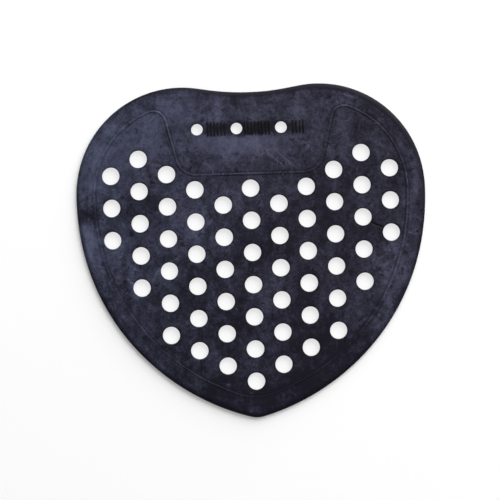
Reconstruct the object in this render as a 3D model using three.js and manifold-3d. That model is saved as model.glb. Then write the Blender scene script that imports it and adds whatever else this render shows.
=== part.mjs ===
// A urinal deodorizer screen: one flat mat of moulded rubber, shaped like a soft shield.
// It has a rounded tip, two low lobes with a shallow notch between them, a field of round
// drain holes in a staggered pattern, a thin raised bead round that field, and a plain
// panel between the lobes with a row of short ribs and three small drain holes.
//
// Millimetres, +Z up. The mat lies on its flat underside at z = 0, the tip points to -Y,
// and the origin is the middle of its box on that underside.

import * as THREE from 'three';
import { mergeVertices } from 'three/addons/utils/BufferGeometryUtils.js';
import Module from 'manifold-3d';

const wasm = await Module();
wasm.setup();

const RIGHT_ANGLE = Math.PI / 2;

// Mat
const MAT_WIDTH = 184.2;
const MAT_LENGTH = 175.3;
const MAT_THICKNESS = 3.0;
const RIM_ROUND_WIDTH = 2.8;
const RIM_ROUND_HEIGHT = 1.6;

// Outline of the right half: four anchor points, and how far the curve runs straight
// on from each before it bends towards the next
const NOTCH_DEPTH = 3.5;
const NOTCH_REACH = 18.3;
const LOBE_SPACING = 71.6;
const LOBE_INNER_REACH = 10.0;
const LOBE_OUTER_REACH = 30.7;
const WIDEST_FROM_TIP = 118.1;
const SIDE_UPPER_REACH = 32.8;
const SIDE_LOWER_REACH = 65.4;
const FLANK_REACH = 45.1;
const TIP_RADIUS = 13.4;
const TIP_HALF_ANGLE = THREE.MathUtils.degToRad(15);

// Raised bead round the drain field
const BEAD_INSET = 9.65;
const BEAD_CREST_WIDTH = 0.5;
const BEAD_FLANK_WIDTH = 0.5;
const BEAD_HEIGHT = 0.35;
const BEAD_TIP_RADIUS = 30.0;
const BEAD_LOBE_RADIUS = 6.5;

// Plain panel between the lobes, which the bead passes on three sides
const PANEL_FOOT_FROM_TIP = 128.6;
const PANEL_FOOT_WIDTH = 73.4;
const PANEL_SIDE_LEAN = THREE.MathUtils.degToRad(14);
const PANEL_CORNER_RADIUS = 11.0;

// Drain holes, in columns set half a pitch against each other
const HOLE_PITCH = 17.0;
const HOLE_RADIUS = 4.6;
const HOLE_LIP = 0.4;
const HOLE_LAND = 1.2;
const FIELD_CENTRE_FROM_TIP = 70.1;

// Row of ribs on the panel, with three small drain holes in it
const ROW_FROM_TIP = 152.8;
const ROW_WIDTH = 60.0;
const RIB_PITCH = 1.8;
const RIB_WIDTH = 0.9;
const RIB_LENGTH = 7.4;
const RIB_HEIGHT = 0.5;
const SMALL_HOLE_RADIUS = 3.1;
const SMALL_HOLE_CLEARANCE = 0.6;
const SMALL_HOLE_PLACES = [-27.4, -6.5, 17.0];

// Facets
const NOTCH_STEPS = 8;
const LOBE_STEPS = 16;
const FLANK_STEPS = 18;
const TIP_STEPS = 4;
const CORNER_STEPS = 6;
const HOLE_FACETS = 16;
const RIM_STEPS = 3;

// How deep a raised feature is rooted, and how far a cutter runs past a face
const ROOT_DEPTH = 0.5;
const CUT_MARGIN = 1.0;

// A point this near the middle line lies on it
const MIDDLE_TOLERANCE = 1e-6;

// Heights along the mat, from the middle of its length
const tipY = -MAT_LENGTH / 2;
const lobeY = MAT_LENGTH / 2;
const notchY = lobeY - NOTCH_DEPTH;
const widestY = tipY + WIDEST_FROM_TIP;
const footY = tipY + PANEL_FOOT_FROM_TIP;
const fieldY = tipY + FIELD_CENTRE_FROM_TIP;
const rowY = tipY + ROW_FROM_TIP;

// Turns a three.js geometry into a solid that can be joined and cut
function solid(geometry) {
  geometry.deleteAttribute('normal');
  geometry.deleteAttribute('uv');
  const merged = mergeVertices(geometry);
  const vertProperties = new Float32Array(merged.attributes.position.array);
  const triVerts = new Uint32Array(merged.index.array);
  return new wasm.Manifold(new wasm.Mesh({ numProp: 3, vertProperties, triVerts }));
}

// Turns a finished solid back into a three.js geometry
function geometryOf(body) {
  const { vertProperties, triVerts } = body.getMesh();
  const geometry = new THREE.BufferGeometry();
  geometry.setAttribute('position', new THREE.BufferAttribute(new Float32Array(vertProperties), 3));
  geometry.setIndex(new THREE.BufferAttribute(new Uint32Array(triVerts), 1));
  geometry.computeVertexNormals();
  return geometry;
}

// Points of a circular arc in the plane of the mat
function arc(centre, radius, from, to, clockwise) {
  const curve = new THREE.EllipseCurve(centre.x, centre.y, radius, radius, from, to, clockwise);
  return curve.getPoints(CORNER_STEPS);
}

// Points of one Bezier stretch, without its first point
function stretch(start, startHandle, endHandle, end, steps) {
  return new THREE.CubicBezierCurve(start, startHandle, endHandle, end).getPoints(steps).slice(1);
}

// The right half of the outline, from the notch over the lobe and the side to the tip
function halfOutline() {
  const notch = new THREE.Vector2(0, notchY);
  const lobe = new THREE.Vector2(LOBE_SPACING / 2, lobeY);
  const side = new THREE.Vector2(MAT_WIDTH / 2, widestY);
  const tipStart = new THREE.Vector2(
    TIP_RADIUS * Math.sin(TIP_HALF_ANGLE),
    tipY + TIP_RADIUS * (1 - Math.cos(TIP_HALF_ANGLE)),
  );
  const flankHandle = new THREE.Vector2(Math.cos(TIP_HALF_ANGLE), Math.sin(TIP_HALF_ANGLE))
    .multiplyScalar(FLANK_REACH)
    .add(tipStart);
  const tipArc = new THREE.EllipseCurve(
    0, tipY + TIP_RADIUS, TIP_RADIUS, TIP_RADIUS, TIP_HALF_ANGLE - RIGHT_ANGLE, -RIGHT_ANGLE, true,
  );
  return [
    notch,
    ...stretch(
      notch, new THREE.Vector2(NOTCH_REACH, notchY),
      new THREE.Vector2(lobe.x - LOBE_INNER_REACH, lobeY), lobe, NOTCH_STEPS,
    ),
    ...stretch(
      lobe, new THREE.Vector2(lobe.x + LOBE_OUTER_REACH, lobeY),
      new THREE.Vector2(side.x, widestY + SIDE_UPPER_REACH), side, LOBE_STEPS,
    ),
    ...stretch(
      side, new THREE.Vector2(side.x, widestY - SIDE_LOWER_REACH),
      flankHandle, tipStart, FLANK_STEPS,
    ),
    ...tipArc.getPoints(TIP_STEPS).slice(1),
  ];
}

// Both halves of a closed line, from its right half; a point on the middle line is kept once
function mirrored(half) {
  const left = half.filter((point) => point.x > MIDDLE_TOLERANCE)
    .reverse()
    .map((point) => new THREE.Vector2(-point.x, point.y));
  return [...half, ...left];
}

// For each point of the half outline, the direction that points into the mat
function inwardDirections(half) {
  return half.map((point, index) => {
    const isEnd = index === 0 || index === half.length - 1;
    const before = half[Math.max(index - 1, 0)];
    const after = half[Math.min(index + 1, half.length - 1)];
    const along = isEnd ? new THREE.Vector2(index === 0 ? 1 : -1, 0) : after.clone().sub(before);
    return new THREE.Vector2(along.y, -along.x).normalize();
  });
}

// Walks from the tip up the half outline at a depth inside it, to where measure(point)
// changes sign, and gives the place, the direction into the mat there and the next index
function meeting(half, inward, depth, measure, firstIndex, sign) {
  const place = (index) => half[index].clone().addScaledVector(inward[index], depth);
  for (let index = firstIndex - 1; index >= 0; index -= 1) {
    const last = measure(place(index + 1)) * sign;
    const here = measure(place(index)) * sign;
    if (last < 0 && here >= 0) {
      const share = last / (last - here);
      return {
        centre: place(index + 1).lerp(place(index), share),
        direction: inward[index + 1].clone().lerp(inward[index], share).normalize(),
        nextIndex: index,
      };
    }
  }
  throw new Error('the bead does not meet the middle line or the panel');
}

// The right half of the bead's centre line: round the tip, up the side, over the lobe,
// down the side of the panel and round the corner of its foot
function halfBead(half) {
  const inward = inwardDirections(half);
  const panelCorner = new THREE.Vector2(PANEL_FOOT_WIDTH / 2, footY);
  const awayFromPanel = new THREE.Vector2(Math.cos(PANEL_SIDE_LEAN), -Math.sin(PANEL_SIDE_LEAN));
  const tip = meeting(
    half, inward, BEAD_INSET + BEAD_TIP_RADIUS, (point) => point.x, half.length - 1, 1,
  );
  const lobe = meeting(
    half, inward, BEAD_INSET + BEAD_LOBE_RADIUS,
    (point) => point.clone().sub(panelCorner).dot(awayFromPanel) - BEAD_LOBE_RADIUS,
    tip.nextIndex, -1,
  );
  const side = [];
  for (let index = tip.nextIndex; index > lobe.nextIndex; index -= 1) {
    side.push(half[index].clone().addScaledVector(inward[index], BEAD_INSET));
  }
  const footShift = PANEL_CORNER_RADIUS * (Math.sin(PANEL_SIDE_LEAN) - 1) / Math.cos(PANEL_SIDE_LEAN);
  const footCentre = new THREE.Vector2(panelCorner.x + footShift, footY + PANEL_CORNER_RADIUS);
  const outwardAngle = (direction) => Math.atan2(-direction.y, -direction.x);
  return [
    ...arc(tip.centre, BEAD_TIP_RADIUS, -RIGHT_ANGLE, outwardAngle(tip.direction), false),
    ...side,
    ...arc(
      lobe.centre, BEAD_LOBE_RADIUS,
      outwardAngle(lobe.direction), Math.PI - PANEL_SIDE_LEAN, false,
    ),
    ...arc(footCentre, PANEL_CORNER_RADIUS, -PANEL_SIDE_LEAN, -RIGHT_ANGLE, true),
  ];
}

// A closed line moved sideways by a distance, to its left as its points run
function moved(line, distance) {
  return line.map((point, index) => {
    const before = line[(index + line.length - 1) % line.length];
    const after = line[(index + 1) % line.length];
    const along = after.clone().sub(before).normalize();
    return new THREE.Vector2(-along.y, along.x).multiplyScalar(distance).add(point);
  });
}

// Distance from a point to a closed line, positive where the line goes round the point
function depthInside(point, line) {
  let nearest = Infinity;
  let inside = false;
  line.forEach((start, index) => {
    const end = line[(index + 1) % line.length];
    const edge = end.clone().sub(start);
    const reach = point.clone().sub(start);
    const share = THREE.MathUtils.clamp(reach.dot(edge) / edge.lengthSq(), 0, 1);
    nearest = Math.min(nearest, reach.distanceTo(edge.clone().multiplyScalar(share)));
    const crosses = (start.y > point.y) !== (end.y > point.y);
    if (crosses && point.x < start.x + edge.x * (point.y - start.y) / edge.y) {
      inside = !inside;
    }
  });
  return inside ? nearest : -nearest;
}

// Centres of the drain holes: each place of the staggered pattern whose hole leaves its
// land free inside the bead
function drainCentres(bead) {
  const columnSpacing = HOLE_PITCH * Math.cos(Math.PI / 6);
  const columns = Math.ceil(MAT_WIDTH / 2 / columnSpacing);
  const rows = Math.ceil(MAT_LENGTH / HOLE_PITCH);
  const centres = [];
  for (let column = -columns; column <= columns; column += 1) {
    const stagger = column % 2 === 0 ? 0 : HOLE_PITCH / 2;
    for (let row = -rows; row <= rows; row += 1) {
      const centre = new THREE.Vector2(
        column * columnSpacing,
        fieldY + row * HOLE_PITCH + stagger,
      );
      if (depthInside(centre, bead) >= HOLE_RADIUS + HOLE_LAND) {
        centres.push(centre);
      }
    }
  }
  return centres;
}

// The plain mat: its rim is rounded off at the top and square at the underside, so a plate
// that is rounded on both faces is made too deep and its lower part is cut away
function matBody(outline) {
  const plate = new THREE.ExtrudeGeometry(new THREE.Shape(outline), {
    depth: MAT_THICKNESS,
    bevelEnabled: true,
    bevelThickness: RIM_ROUND_HEIGHT,
    bevelSize: RIM_ROUND_WIDTH,
    bevelOffset: -RIM_ROUND_WIDTH,
    bevelSegments: RIM_STEPS,
  });
  plate.translate(0, 0, -RIM_ROUND_HEIGHT);
  const wasteDepth = 2 * RIM_ROUND_HEIGHT + CUT_MARGIN;
  const waste = new THREE.BoxGeometry(
    MAT_WIDTH + 2 * CUT_MARGIN, MAT_LENGTH + 2 * CUT_MARGIN, wasteDepth,
  );
  return solid(plate).subtract(solid(waste.translate(0, 0, -wasteDepth / 2)));
}

// The raised bead: a closed band along its centre line, sloped on both flanks
function beadBody(line) {
  const band = new THREE.Shape(moved(line, -BEAD_CREST_WIDTH / 2));
  band.holes.push(new THREE.Path(moved(line, BEAD_CREST_WIDTH / 2)));
  const ring = new THREE.ExtrudeGeometry(band, {
    depth: ROOT_DEPTH,
    bevelEnabled: true,
    bevelThickness: BEAD_HEIGHT,
    bevelSize: BEAD_FLANK_WIDTH,
    bevelSegments: 1,
  });
  return solid(ring.translate(0, 0, MAT_THICKNESS - ROOT_DEPTH));
}

// A cutter for one round hole, with a small lip at the top face
function holeCutter(centre, radius) {
  const profile = [
    new THREE.Vector2(0, -CUT_MARGIN),
    new THREE.Vector2(radius, -CUT_MARGIN),
    new THREE.Vector2(radius, MAT_THICKNESS - HOLE_LIP),
    new THREE.Vector2(radius + HOLE_LIP + CUT_MARGIN, MAT_THICKNESS + CUT_MARGIN),
    new THREE.Vector2(0, MAT_THICKNESS + CUT_MARGIN),
  ];
  const cutter = new THREE.LatheGeometry(profile, HOLE_FACETS).rotateX(RIGHT_ANGLE);
  return solid(cutter.translate(centre.x, centre.y, 0));
}

// Middles of the ribs: evenly spaced, with those left out that would crowd a small hole
function ribPlaces() {
  const count = Math.floor((ROW_WIDTH - RIB_WIDTH) / RIB_PITCH) + 1;
  const first = -(count - 1) * RIB_PITCH / 2;
  const keepOff = SMALL_HOLE_RADIUS + HOLE_LIP + SMALL_HOLE_CLEARANCE + RIB_WIDTH / 2;
  return Array.from({ length: count }, (_, index) => first + index * RIB_PITCH)
    .filter((x) => SMALL_HOLE_PLACES.every((holeX) => Math.abs(x - holeX) >= keepOff));
}

// One upright rib of the row, rooted in the panel
function ribBody(x) {
  const block = new THREE.BoxGeometry(RIB_WIDTH, RIB_LENGTH, RIB_HEIGHT + ROOT_DEPTH);
  return solid(block.translate(x, rowY, MAT_THICKNESS + (RIB_HEIGHT - ROOT_DEPTH) / 2));
}

// The whole screen as one moulded solid
function screenGeometry() {
  const half = halfOutline();
  const beadLine = mirrored(halfBead(half));
  let body = matBody(mirrored(half)).add(beadBody(beadLine));
  ribPlaces().forEach((x) => {
    body = body.add(ribBody(x));
  });
  drainCentres(beadLine).forEach((centre) => {
    body = body.subtract(holeCutter(centre, HOLE_RADIUS));
  });
  SMALL_HOLE_PLACES.forEach((x) => {
    body = body.subtract(holeCutter(new THREE.Vector2(x, rowY), SMALL_HOLE_RADIUS));
  });
  return geometryOf(body);
}

const rubber = new THREE.MeshStandardMaterial({ color: 0x26262e, roughness: 0.55, metalness: 0 });

const screen = new THREE.Mesh(screenGeometry(), rubber);
screen.name = 'screen';

const group = new THREE.Group();
group.name = 'urinal_screen';
group.add(screen);

export default group;
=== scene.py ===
# %% [markdown]
# # A rubber urinal screen
#
# The real object is one flat mat of moulded rubber. It has the outline of a soft shield:
# two low lobes, a shallow notch between them and a rounded tip. Round drain holes stand in
# a staggered pattern, a thin raised bead runs round them, and a plain panel between the
# lobes carries a row of short ribs with three small holes.
#
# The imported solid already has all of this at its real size, but with few facets. Here the
# same shape is made again, finer, from the same named sizes, and then gets its finish: blue
# black rubber with a pale bloom, worn edges, small cracks and scratches.

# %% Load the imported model
import math

import bmesh
import bpy
import numpy as np
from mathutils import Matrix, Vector, kdtree
from mathutils.geometry import delaunay_2d_cdt


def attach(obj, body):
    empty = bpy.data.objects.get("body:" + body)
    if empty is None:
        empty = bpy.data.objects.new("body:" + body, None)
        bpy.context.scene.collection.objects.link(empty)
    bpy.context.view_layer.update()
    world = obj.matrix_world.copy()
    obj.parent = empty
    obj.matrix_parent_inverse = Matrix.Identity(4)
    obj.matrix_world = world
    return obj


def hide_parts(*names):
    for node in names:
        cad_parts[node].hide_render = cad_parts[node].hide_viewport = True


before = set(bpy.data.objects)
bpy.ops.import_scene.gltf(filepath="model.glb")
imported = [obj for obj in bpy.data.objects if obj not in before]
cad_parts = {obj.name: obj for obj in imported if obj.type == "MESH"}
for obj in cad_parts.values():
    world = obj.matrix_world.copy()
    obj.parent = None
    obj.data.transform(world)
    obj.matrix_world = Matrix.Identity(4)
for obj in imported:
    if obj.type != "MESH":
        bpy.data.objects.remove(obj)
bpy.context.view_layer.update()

for leftover in ("Cube", "Light", "Camera"):
    if leftover in bpy.data.objects:
        bpy.data.objects.remove(bpy.data.objects[leftover])

# %% [markdown]
# ## Sizes
#
# Blender counts in metres, so each size is written in millimetres times one named factor.
# These are the solid's own driving sizes. Everything below follows from them, so the
# visible mat and the solid can't drift apart.

# %% Driving sizes
MM = 0.001
RIGHT_ANGLE = math.pi / 2

MAT_WIDTH = 184.2 * MM
MAT_LENGTH = 175.3 * MM
MAT_THICKNESS = 3.0 * MM
RIM_ROUND_WIDTH = 2.8 * MM
RIM_ROUND_HEIGHT = 1.6 * MM

NOTCH_DEPTH = 3.5 * MM
NOTCH_REACH = 18.3 * MM
LOBE_SPACING = 71.6 * MM
LOBE_INNER_REACH = 10.0 * MM
LOBE_OUTER_REACH = 30.7 * MM
WIDEST_FROM_TIP = 118.1 * MM
SIDE_UPPER_REACH = 32.8 * MM
SIDE_LOWER_REACH = 65.4 * MM
FLANK_REACH = 45.1 * MM
TIP_RADIUS = 13.4 * MM
TIP_HALF_ANGLE = math.radians(15)

BEAD_INSET = 9.65 * MM
BEAD_TIP_RADIUS = 30.0 * MM
BEAD_LOBE_RADIUS = 6.5 * MM
BEAD_HEIGHT = 0.35 * MM

PANEL_FOOT_FROM_TIP = 128.6 * MM
PANEL_FOOT_WIDTH = 73.4 * MM
PANEL_SIDE_LEAN = math.radians(14)
PANEL_CORNER_RADIUS = 11.0 * MM

HOLE_PITCH = 17.0 * MM
HOLE_RADIUS = 4.6 * MM
HOLE_LAND = 1.2 * MM
FIELD_CENTRE_FROM_TIP = 70.1 * MM

ROW_FROM_TIP = 152.8 * MM
ROW_WIDTH = 60.0 * MM
RIB_PITCH = 1.8 * MM
RIB_WIDTH = 0.9 * MM
RIB_LENGTH = 7.4 * MM
RIB_HEIGHT = 0.5 * MM
RIB_ROOT = 0.5 * MM
SMALL_HOLE_RADIUS = 3.1 * MM
SMALL_HOLE_CLEARANCE = 0.6 * MM
SMALL_HOLE_PLACES = [-27.4 * MM, -6.5 * MM, 17.0 * MM]

TIP_Y = -MAT_LENGTH / 2
LOBE_Y = MAT_LENGTH / 2
NOTCH_Y = LOBE_Y - NOTCH_DEPTH
WIDEST_Y = TIP_Y + WIDEST_FROM_TIP
FOOT_Y = TIP_Y + PANEL_FOOT_FROM_TIP
FIELD_Y = TIP_Y + FIELD_CENTRE_FROM_TIP
ROW_Y = TIP_Y + ROW_FROM_TIP

# %% [markdown]
# ## The outline
#
# A moulded outline has no corners. It could be drawn by hand as a curve object, but then
# its sizes would be hidden in handles. Three Bezier stretches and one arc, worked out from
# the sizes, give the right half, and a mirror gives the left one.

# %% Outline
NOTCH_STEPS = 36
LOBE_STEPS = 84
FLANK_STEPS = 120
TIP_STEPS = 8
MIDDLE_TOLERANCE = 1e-9


def stretch(start, start_handle, end_handle, end, steps):
    """Points of one Bezier stretch, without its first point."""
    share = np.linspace(0, 1, steps + 1)[1:, None]
    rest = 1 - share
    return (rest**3 * np.array(start) + 3 * rest**2 * share * np.array(start_handle)
            + 3 * rest * share**2 * np.array(end_handle) + share**3 * np.array(end))


def arc(centre, radius, start, end, steps):
    """Points of a circular arc, both ends included."""
    angle = np.linspace(start, end, steps + 1)
    return np.array(centre) + radius * np.stack([np.cos(angle), np.sin(angle)], axis=1)


def half_outline():
    """The right half, from the notch over the lobe and the side to the tip."""
    notch = (0, NOTCH_Y)
    lobe = (LOBE_SPACING / 2, LOBE_Y)
    side = (MAT_WIDTH / 2, WIDEST_Y)
    tip = arc((0, TIP_Y + TIP_RADIUS), TIP_RADIUS, TIP_HALF_ANGLE - RIGHT_ANGLE, -RIGHT_ANGLE, TIP_STEPS)
    flank = FLANK_REACH * np.array([math.cos(TIP_HALF_ANGLE), math.sin(TIP_HALF_ANGLE)])
    return np.concatenate([
        [notch],
        stretch(notch, (NOTCH_REACH, NOTCH_Y), (lobe[0] - LOBE_INNER_REACH, LOBE_Y), lobe, NOTCH_STEPS),
        stretch(lobe, (lobe[0] + LOBE_OUTER_REACH, LOBE_Y),
                (side[0], WIDEST_Y + SIDE_UPPER_REACH), side, LOBE_STEPS),
        stretch(side, (side[0], WIDEST_Y - SIDE_LOWER_REACH), tip[0] + flank, tip[0], FLANK_STEPS),
        tip[1:],
    ])


def closed_line(half):
    """Both halves of a closed line, run anticlockwise seen from above."""
    on_right = half[half[:, 0] > MIDDLE_TOLERANCE]
    line = np.concatenate([half, on_right[::-1] * (-1, 1)])
    following = np.roll(line, -1, axis=0)
    area = np.sum(line[:, 0] * following[:, 1] - following[:, 0] * line[:, 1]) / 2
    return line if area > 0 else line[::-1]


right_half = half_outline()
outline = closed_line(right_half)
print("outline:", len(outline), "points, width", round(np.ptp(outline[:, 0]) / MM, 1), "mm")

# %% [markdown]
# ## The line of the bead
#
# The bead keeps one distance from the outline, turns round the top of each lobe and runs
# down beside the panel and along its foot. The two round corners start where a point at a
# set depth inside the outline meets the middle line or the panel, as a draughtsman finds a
# fillet's centre.

# %% Bead line
CORNER_STEPS = 20
PANEL_SIDE_STEPS = 23
PANEL_FOOT_STEPS = 25
NUDGE = 1e-6


def inward_directions(half):
    """For each point of the half outline, the direction that points into the mat."""
    before = np.concatenate([half[:1] * (-1, 1) - (NUDGE, 0), half[:-1]])
    after = np.concatenate([half[1:], half[-1:] * (-1, 1) - (NUDGE, 0)])
    along = after - before
    inward = np.stack([along[:, 1], -along[:, 0]], axis=1)
    inward[0] = (0, -1)
    inward[-1] = (0, 1)
    return inward / np.linalg.norm(inward, axis=1)[:, None]


def meeting(half, inward, depth, measure, first, sign):
    """Walks up the half outline at a depth inside it, to where measure(place) changes sign."""
    places = half + inward * depth
    for index in range(first - 1, -1, -1):
        last = measure(places[index + 1]) * sign
        here = measure(places[index]) * sign
        if last < 0 <= here:
            share = last / (last - here)
            direction = inward[index + 1] * (1 - share) + inward[index] * share
            return places[index + 1] * (1 - share) + places[index] * share, direction, index
    raise ValueError("the bead does not meet the middle line or the panel")


def half_bead(half):
    """The right half of the bead's line, from the tip to the middle of the panel's foot."""
    inward = inward_directions(half)
    corner = np.array([PANEL_FOOT_WIDTH / 2, FOOT_Y])
    away = np.array([math.cos(PANEL_SIDE_LEAN), -math.sin(PANEL_SIDE_LEAN)])
    tip_centre, tip_way, tip_next = meeting(
        half, inward, BEAD_INSET + BEAD_TIP_RADIUS, lambda place: place[0], len(half) - 1, 1)
    lobe_centre, lobe_way, lobe_next = meeting(
        half, inward, BEAD_INSET + BEAD_LOBE_RADIUS,
        lambda place: (place - corner) @ away - BEAD_LOBE_RADIUS, tip_next, -1)
    side = (half + inward * BEAD_INSET)[lobe_next + 1:tip_next + 1][::-1]
    foot_shift = PANEL_CORNER_RADIUS * (math.sin(PANEL_SIDE_LEAN) - 1) / math.cos(PANEL_SIDE_LEAN)
    foot_centre = corner + (foot_shift, PANEL_CORNER_RADIUS)
    tip_angle = math.atan2(-tip_way[1], -tip_way[0])
    lobe_angle = math.atan2(-lobe_way[1], -lobe_way[0])
    lobe_arc = arc(lobe_centre, BEAD_LOBE_RADIUS, lobe_angle, math.pi - PANEL_SIDE_LEAN, CORNER_STEPS)
    foot_arc = arc(foot_centre, PANEL_CORNER_RADIUS, -PANEL_SIDE_LEAN, -RIGHT_ANGLE, CORNER_STEPS)
    flank = np.linspace(lobe_arc[-1], foot_arc[0], PANEL_SIDE_STEPS + 1)[1:-1]
    foot = np.linspace(foot_arc[-1], (0, FOOT_Y), PANEL_FOOT_STEPS + 1)[1:]
    tip_arc = arc(tip_centre, BEAD_TIP_RADIUS, -RIGHT_ANGLE, tip_angle, CORNER_STEPS)
    return np.concatenate([tip_arc, side, lobe_arc, flank, foot_arc, foot])


bead_line = closed_line(half_bead(right_half))
print("bead line:", len(bead_line), "points")

# %% [markdown]
# ## Helpers for node trees
#
# Geometry Nodes make what follows a path and what repeats. Every tree here is built by the
# script, with its sizes as named inputs, so that a reader can open the file and turn them.
# Three short helpers keep that readable: one makes a tree, one adds a node and fills its
# inputs, and one runs a tree on a mesh and gives the result back as plain geometry.

# %% Node helpers
def add(tree, kind, values=None, **settings):
    """Adds a node. Values go to its inputs, by name or index, as links or as numbers."""
    node = tree.nodes.new(kind)
    for name, setting in settings.items():
        setattr(node, name, setting)
    for key, value in (values or {}).items():
        if isinstance(value, bpy.types.NodeSocket):
            tree.links.new(value, node.inputs[key])
        else:
            node.inputs[key].default_value = value
    return node


def maths(tree, operation, *values, clamp=False):
    """Adds one Math node and gives its output."""
    node = add(tree, "ShaderNodeMath", dict(enumerate(values)), operation=operation, use_clamp=clamp)
    return node.outputs[0]


def eased(tree, value, start, end, low=0.0, high=1.0):
    """A smooth change from low to high while the value goes from start to end."""
    node = add(tree, "ShaderNodeMapRange", {0: value, 1: start, 2: end, 3: low, 4: high},
               interpolation_type="SMOOTHSTEP")
    return node.outputs[0]


def point(tree, x=0.0, y=0.0, z=0.0):
    """Joins three numbers to a vector."""
    return add(tree, "ShaderNodeCombineXYZ", {0: x, 1: y, 2: z}).outputs[0]


def new_tree(name, inputs, outputs, kind="GeometryNodeTree"):
    """An empty tree with named sockets. Each is a name, a socket type and a start value."""
    tree = bpy.data.node_groups.new(name, kind)
    for label, socket_type, value in inputs:
        socket = tree.interface.new_socket(name=label, in_out="INPUT", socket_type=socket_type)
        if value is not None:
            socket.default_value = value
    for label, socket_type in outputs:
        tree.interface.new_socket(name=label, in_out="OUTPUT", socket_type=socket_type)
    return tree, tree.nodes.new("NodeGroupInput").outputs, tree.nodes.new("NodeGroupOutput").inputs


GEOMETRY = ("Geometry", "NodeSocketGeometry", None)
SHAPE_OUT = [("Geometry", "NodeSocketGeometry")]
NUMBER = "NodeSocketFloat"
WHOLE = "NodeSocketInt"


def run_tree(tree, mesh, settings):
    """Runs a tree on a mesh, through a modifier, and gives the result as a new mesh."""
    carrier = bpy.data.objects.new("carrier", mesh)
    bpy.context.scene.collection.objects.link(carrier)
    modifier = carrier.modifiers.new("nodes", "NODES")
    modifier.node_group = tree
    sockets = {item.name: item.identifier for item in tree.interface.items_tree
               if item.in_out == "INPUT"}
    for label, value in settings.items():
        modifier[sockets[label]] = value
    depsgraph = bpy.context.evaluated_depsgraph_get()
    made = bpy.data.meshes.new_from_object(carrier.evaluated_get(depsgraph))
    carrier.modifiers.remove(modifier)
    bpy.data.objects.remove(carrier)
    return made


def path_mesh(line, height=0.0):
    """A closed chain of edges along a line."""
    mesh = bpy.data.meshes.new("path")
    count = len(line)
    mesh.from_pydata([(x, y, height) for x, y in line],
                     [(index, (index + 1) % count) for index in range(count)], [])
    return mesh


def point_mesh(places):
    """Loose points."""
    mesh = bpy.data.meshes.new("points")
    mesh.from_pydata([tuple(place) for place in places], [], [])
    return mesh


# %% [markdown]
# ## Sweeping a profile along a flat path
#
# The rim, the bead and the wall of a hole are all one short profile carried round a closed
# flat line. Curve to Mesh does that. With the curve's normals set to Z Up, the profile's X
# points out of an anticlockwise loop and its Y points down, so a height goes in as minus Y.

# %% Sweep group
sweep, given, result = new_tree(
    "sweep_flat_path",
    [("Path", "NodeSocketGeometry", None), ("Points", WHOLE, 8),
     ("Outward", NUMBER, 0.0), ("Height", NUMBER, 0.0)],
    SHAPE_OUT)
level = add(sweep, "GeometryNodeSetCurveNormal", {0: given["Path"]}, mode="Z_UP")
blank = add(sweep, "GeometryNodeCurvePrimitiveLine")
spaced = add(sweep, "GeometryNodeResampleCurve", {"Curve": blank.outputs[0], "Count": given["Points"]})
profile = add(sweep, "GeometryNodeSetPosition", {
    "Geometry": spaced.outputs[0],
    "Position": point(sweep, given["Outward"], maths(sweep, "MULTIPLY", given["Height"], -1.0)),
})
swept = add(sweep, "GeometryNodeCurveToMesh", {0: level.outputs[0], 1: profile.outputs[0]})
sweep.links.new(swept.outputs[0], result["Geometry"])


def sweep_node(tree, path, points, outward, height):
    """Places the sweep group in a tree."""
    node = add(tree, "GeometryNodeGroup", node_tree=sweep)
    for label, value in (("Path", path), ("Points", points), ("Outward", outward), ("Height", height)):
        if isinstance(value, bpy.types.NodeSocket):
            tree.links.new(value, node.inputs[label])
        else:
            node.inputs[label].default_value = value
    return node.outputs["Geometry"]


def finish_tree(tree, shape, material, result):
    """Ends a tree in Realize Instances and Set Material."""
    real = add(tree, "GeometryNodeRealizeInstances", {"Geometry": shape})
    dressed = add(tree, "GeometryNodeSetMaterial", {"Geometry": real.outputs[0], "Material": material})
    tree.links.new(dressed.outputs[0], result["Geometry"])


rubber = bpy.data.materials.new("bloomed_rubber")
gloss = bpy.data.materials.new("polished_rubber")
MATERIAL_IN = ("Material", "NodeSocketMaterial", None)

# %% [markdown]
# ## The rim
#
# A mould rounds the rim at the top and leaves it square where the rubber lay on the flat
# half of the tool. The profile climbs the wall, then follows a quarter of an ellipse inwards.
# Each profile point knows its index, and a little mathematics turns that into a place.

# %% Rim
RIM_POINTS = 11
rim_tree, given, result = new_tree("rounded_rim", [
    GEOMETRY, ("Thickness", NUMBER, MAT_THICKNESS), ("Round Width", NUMBER, RIM_ROUND_WIDTH),
    ("Round Height", NUMBER, RIM_ROUND_HEIGHT), ("Profile Points", WHOLE, RIM_POINTS), MATERIAL_IN,
], SHAPE_OUT)
step = add(rim_tree, "GeometryNodeInputIndex").outputs[0]
arc_steps = maths(rim_tree, "SUBTRACT", given["Profile Points"], 2.0)
turned = maths(rim_tree, "DIVIDE", maths(rim_tree, "SUBTRACT", step, 1.0), arc_steps)
angle = maths(rim_tree, "MULTIPLY", maths(rim_tree, "MAXIMUM", turned, 0.0), RIGHT_ANGLE)
inward = maths(rim_tree, "SUBTRACT", maths(rim_tree, "COSINE", angle), 1.0)
rise = maths(rim_tree, "MULTIPLY", maths(rim_tree, "SINE", angle), given["Round Height"])
shoulder = maths(rim_tree, "SUBTRACT", given["Thickness"], given["Round Height"])
above_foot = maths(rim_tree, "GREATER_THAN", step, 0.5)
path = add(rim_tree, "GeometryNodeMeshToCurve", {0: given["Geometry"]}).outputs[0]
band = sweep_node(
    rim_tree, path, given["Profile Points"],
    maths(rim_tree, "MULTIPLY", inward, given["Round Width"]),
    maths(rim_tree, "MULTIPLY", maths(rim_tree, "ADD", shoulder, rise), above_foot))
finish_tree(rim_tree, band, given["Material"], result)
rim_mesh = run_tree(rim_tree, path_mesh(outline), {"Material": rubber})
print("rim:", len(rim_mesh.polygons), "faces")

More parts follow.
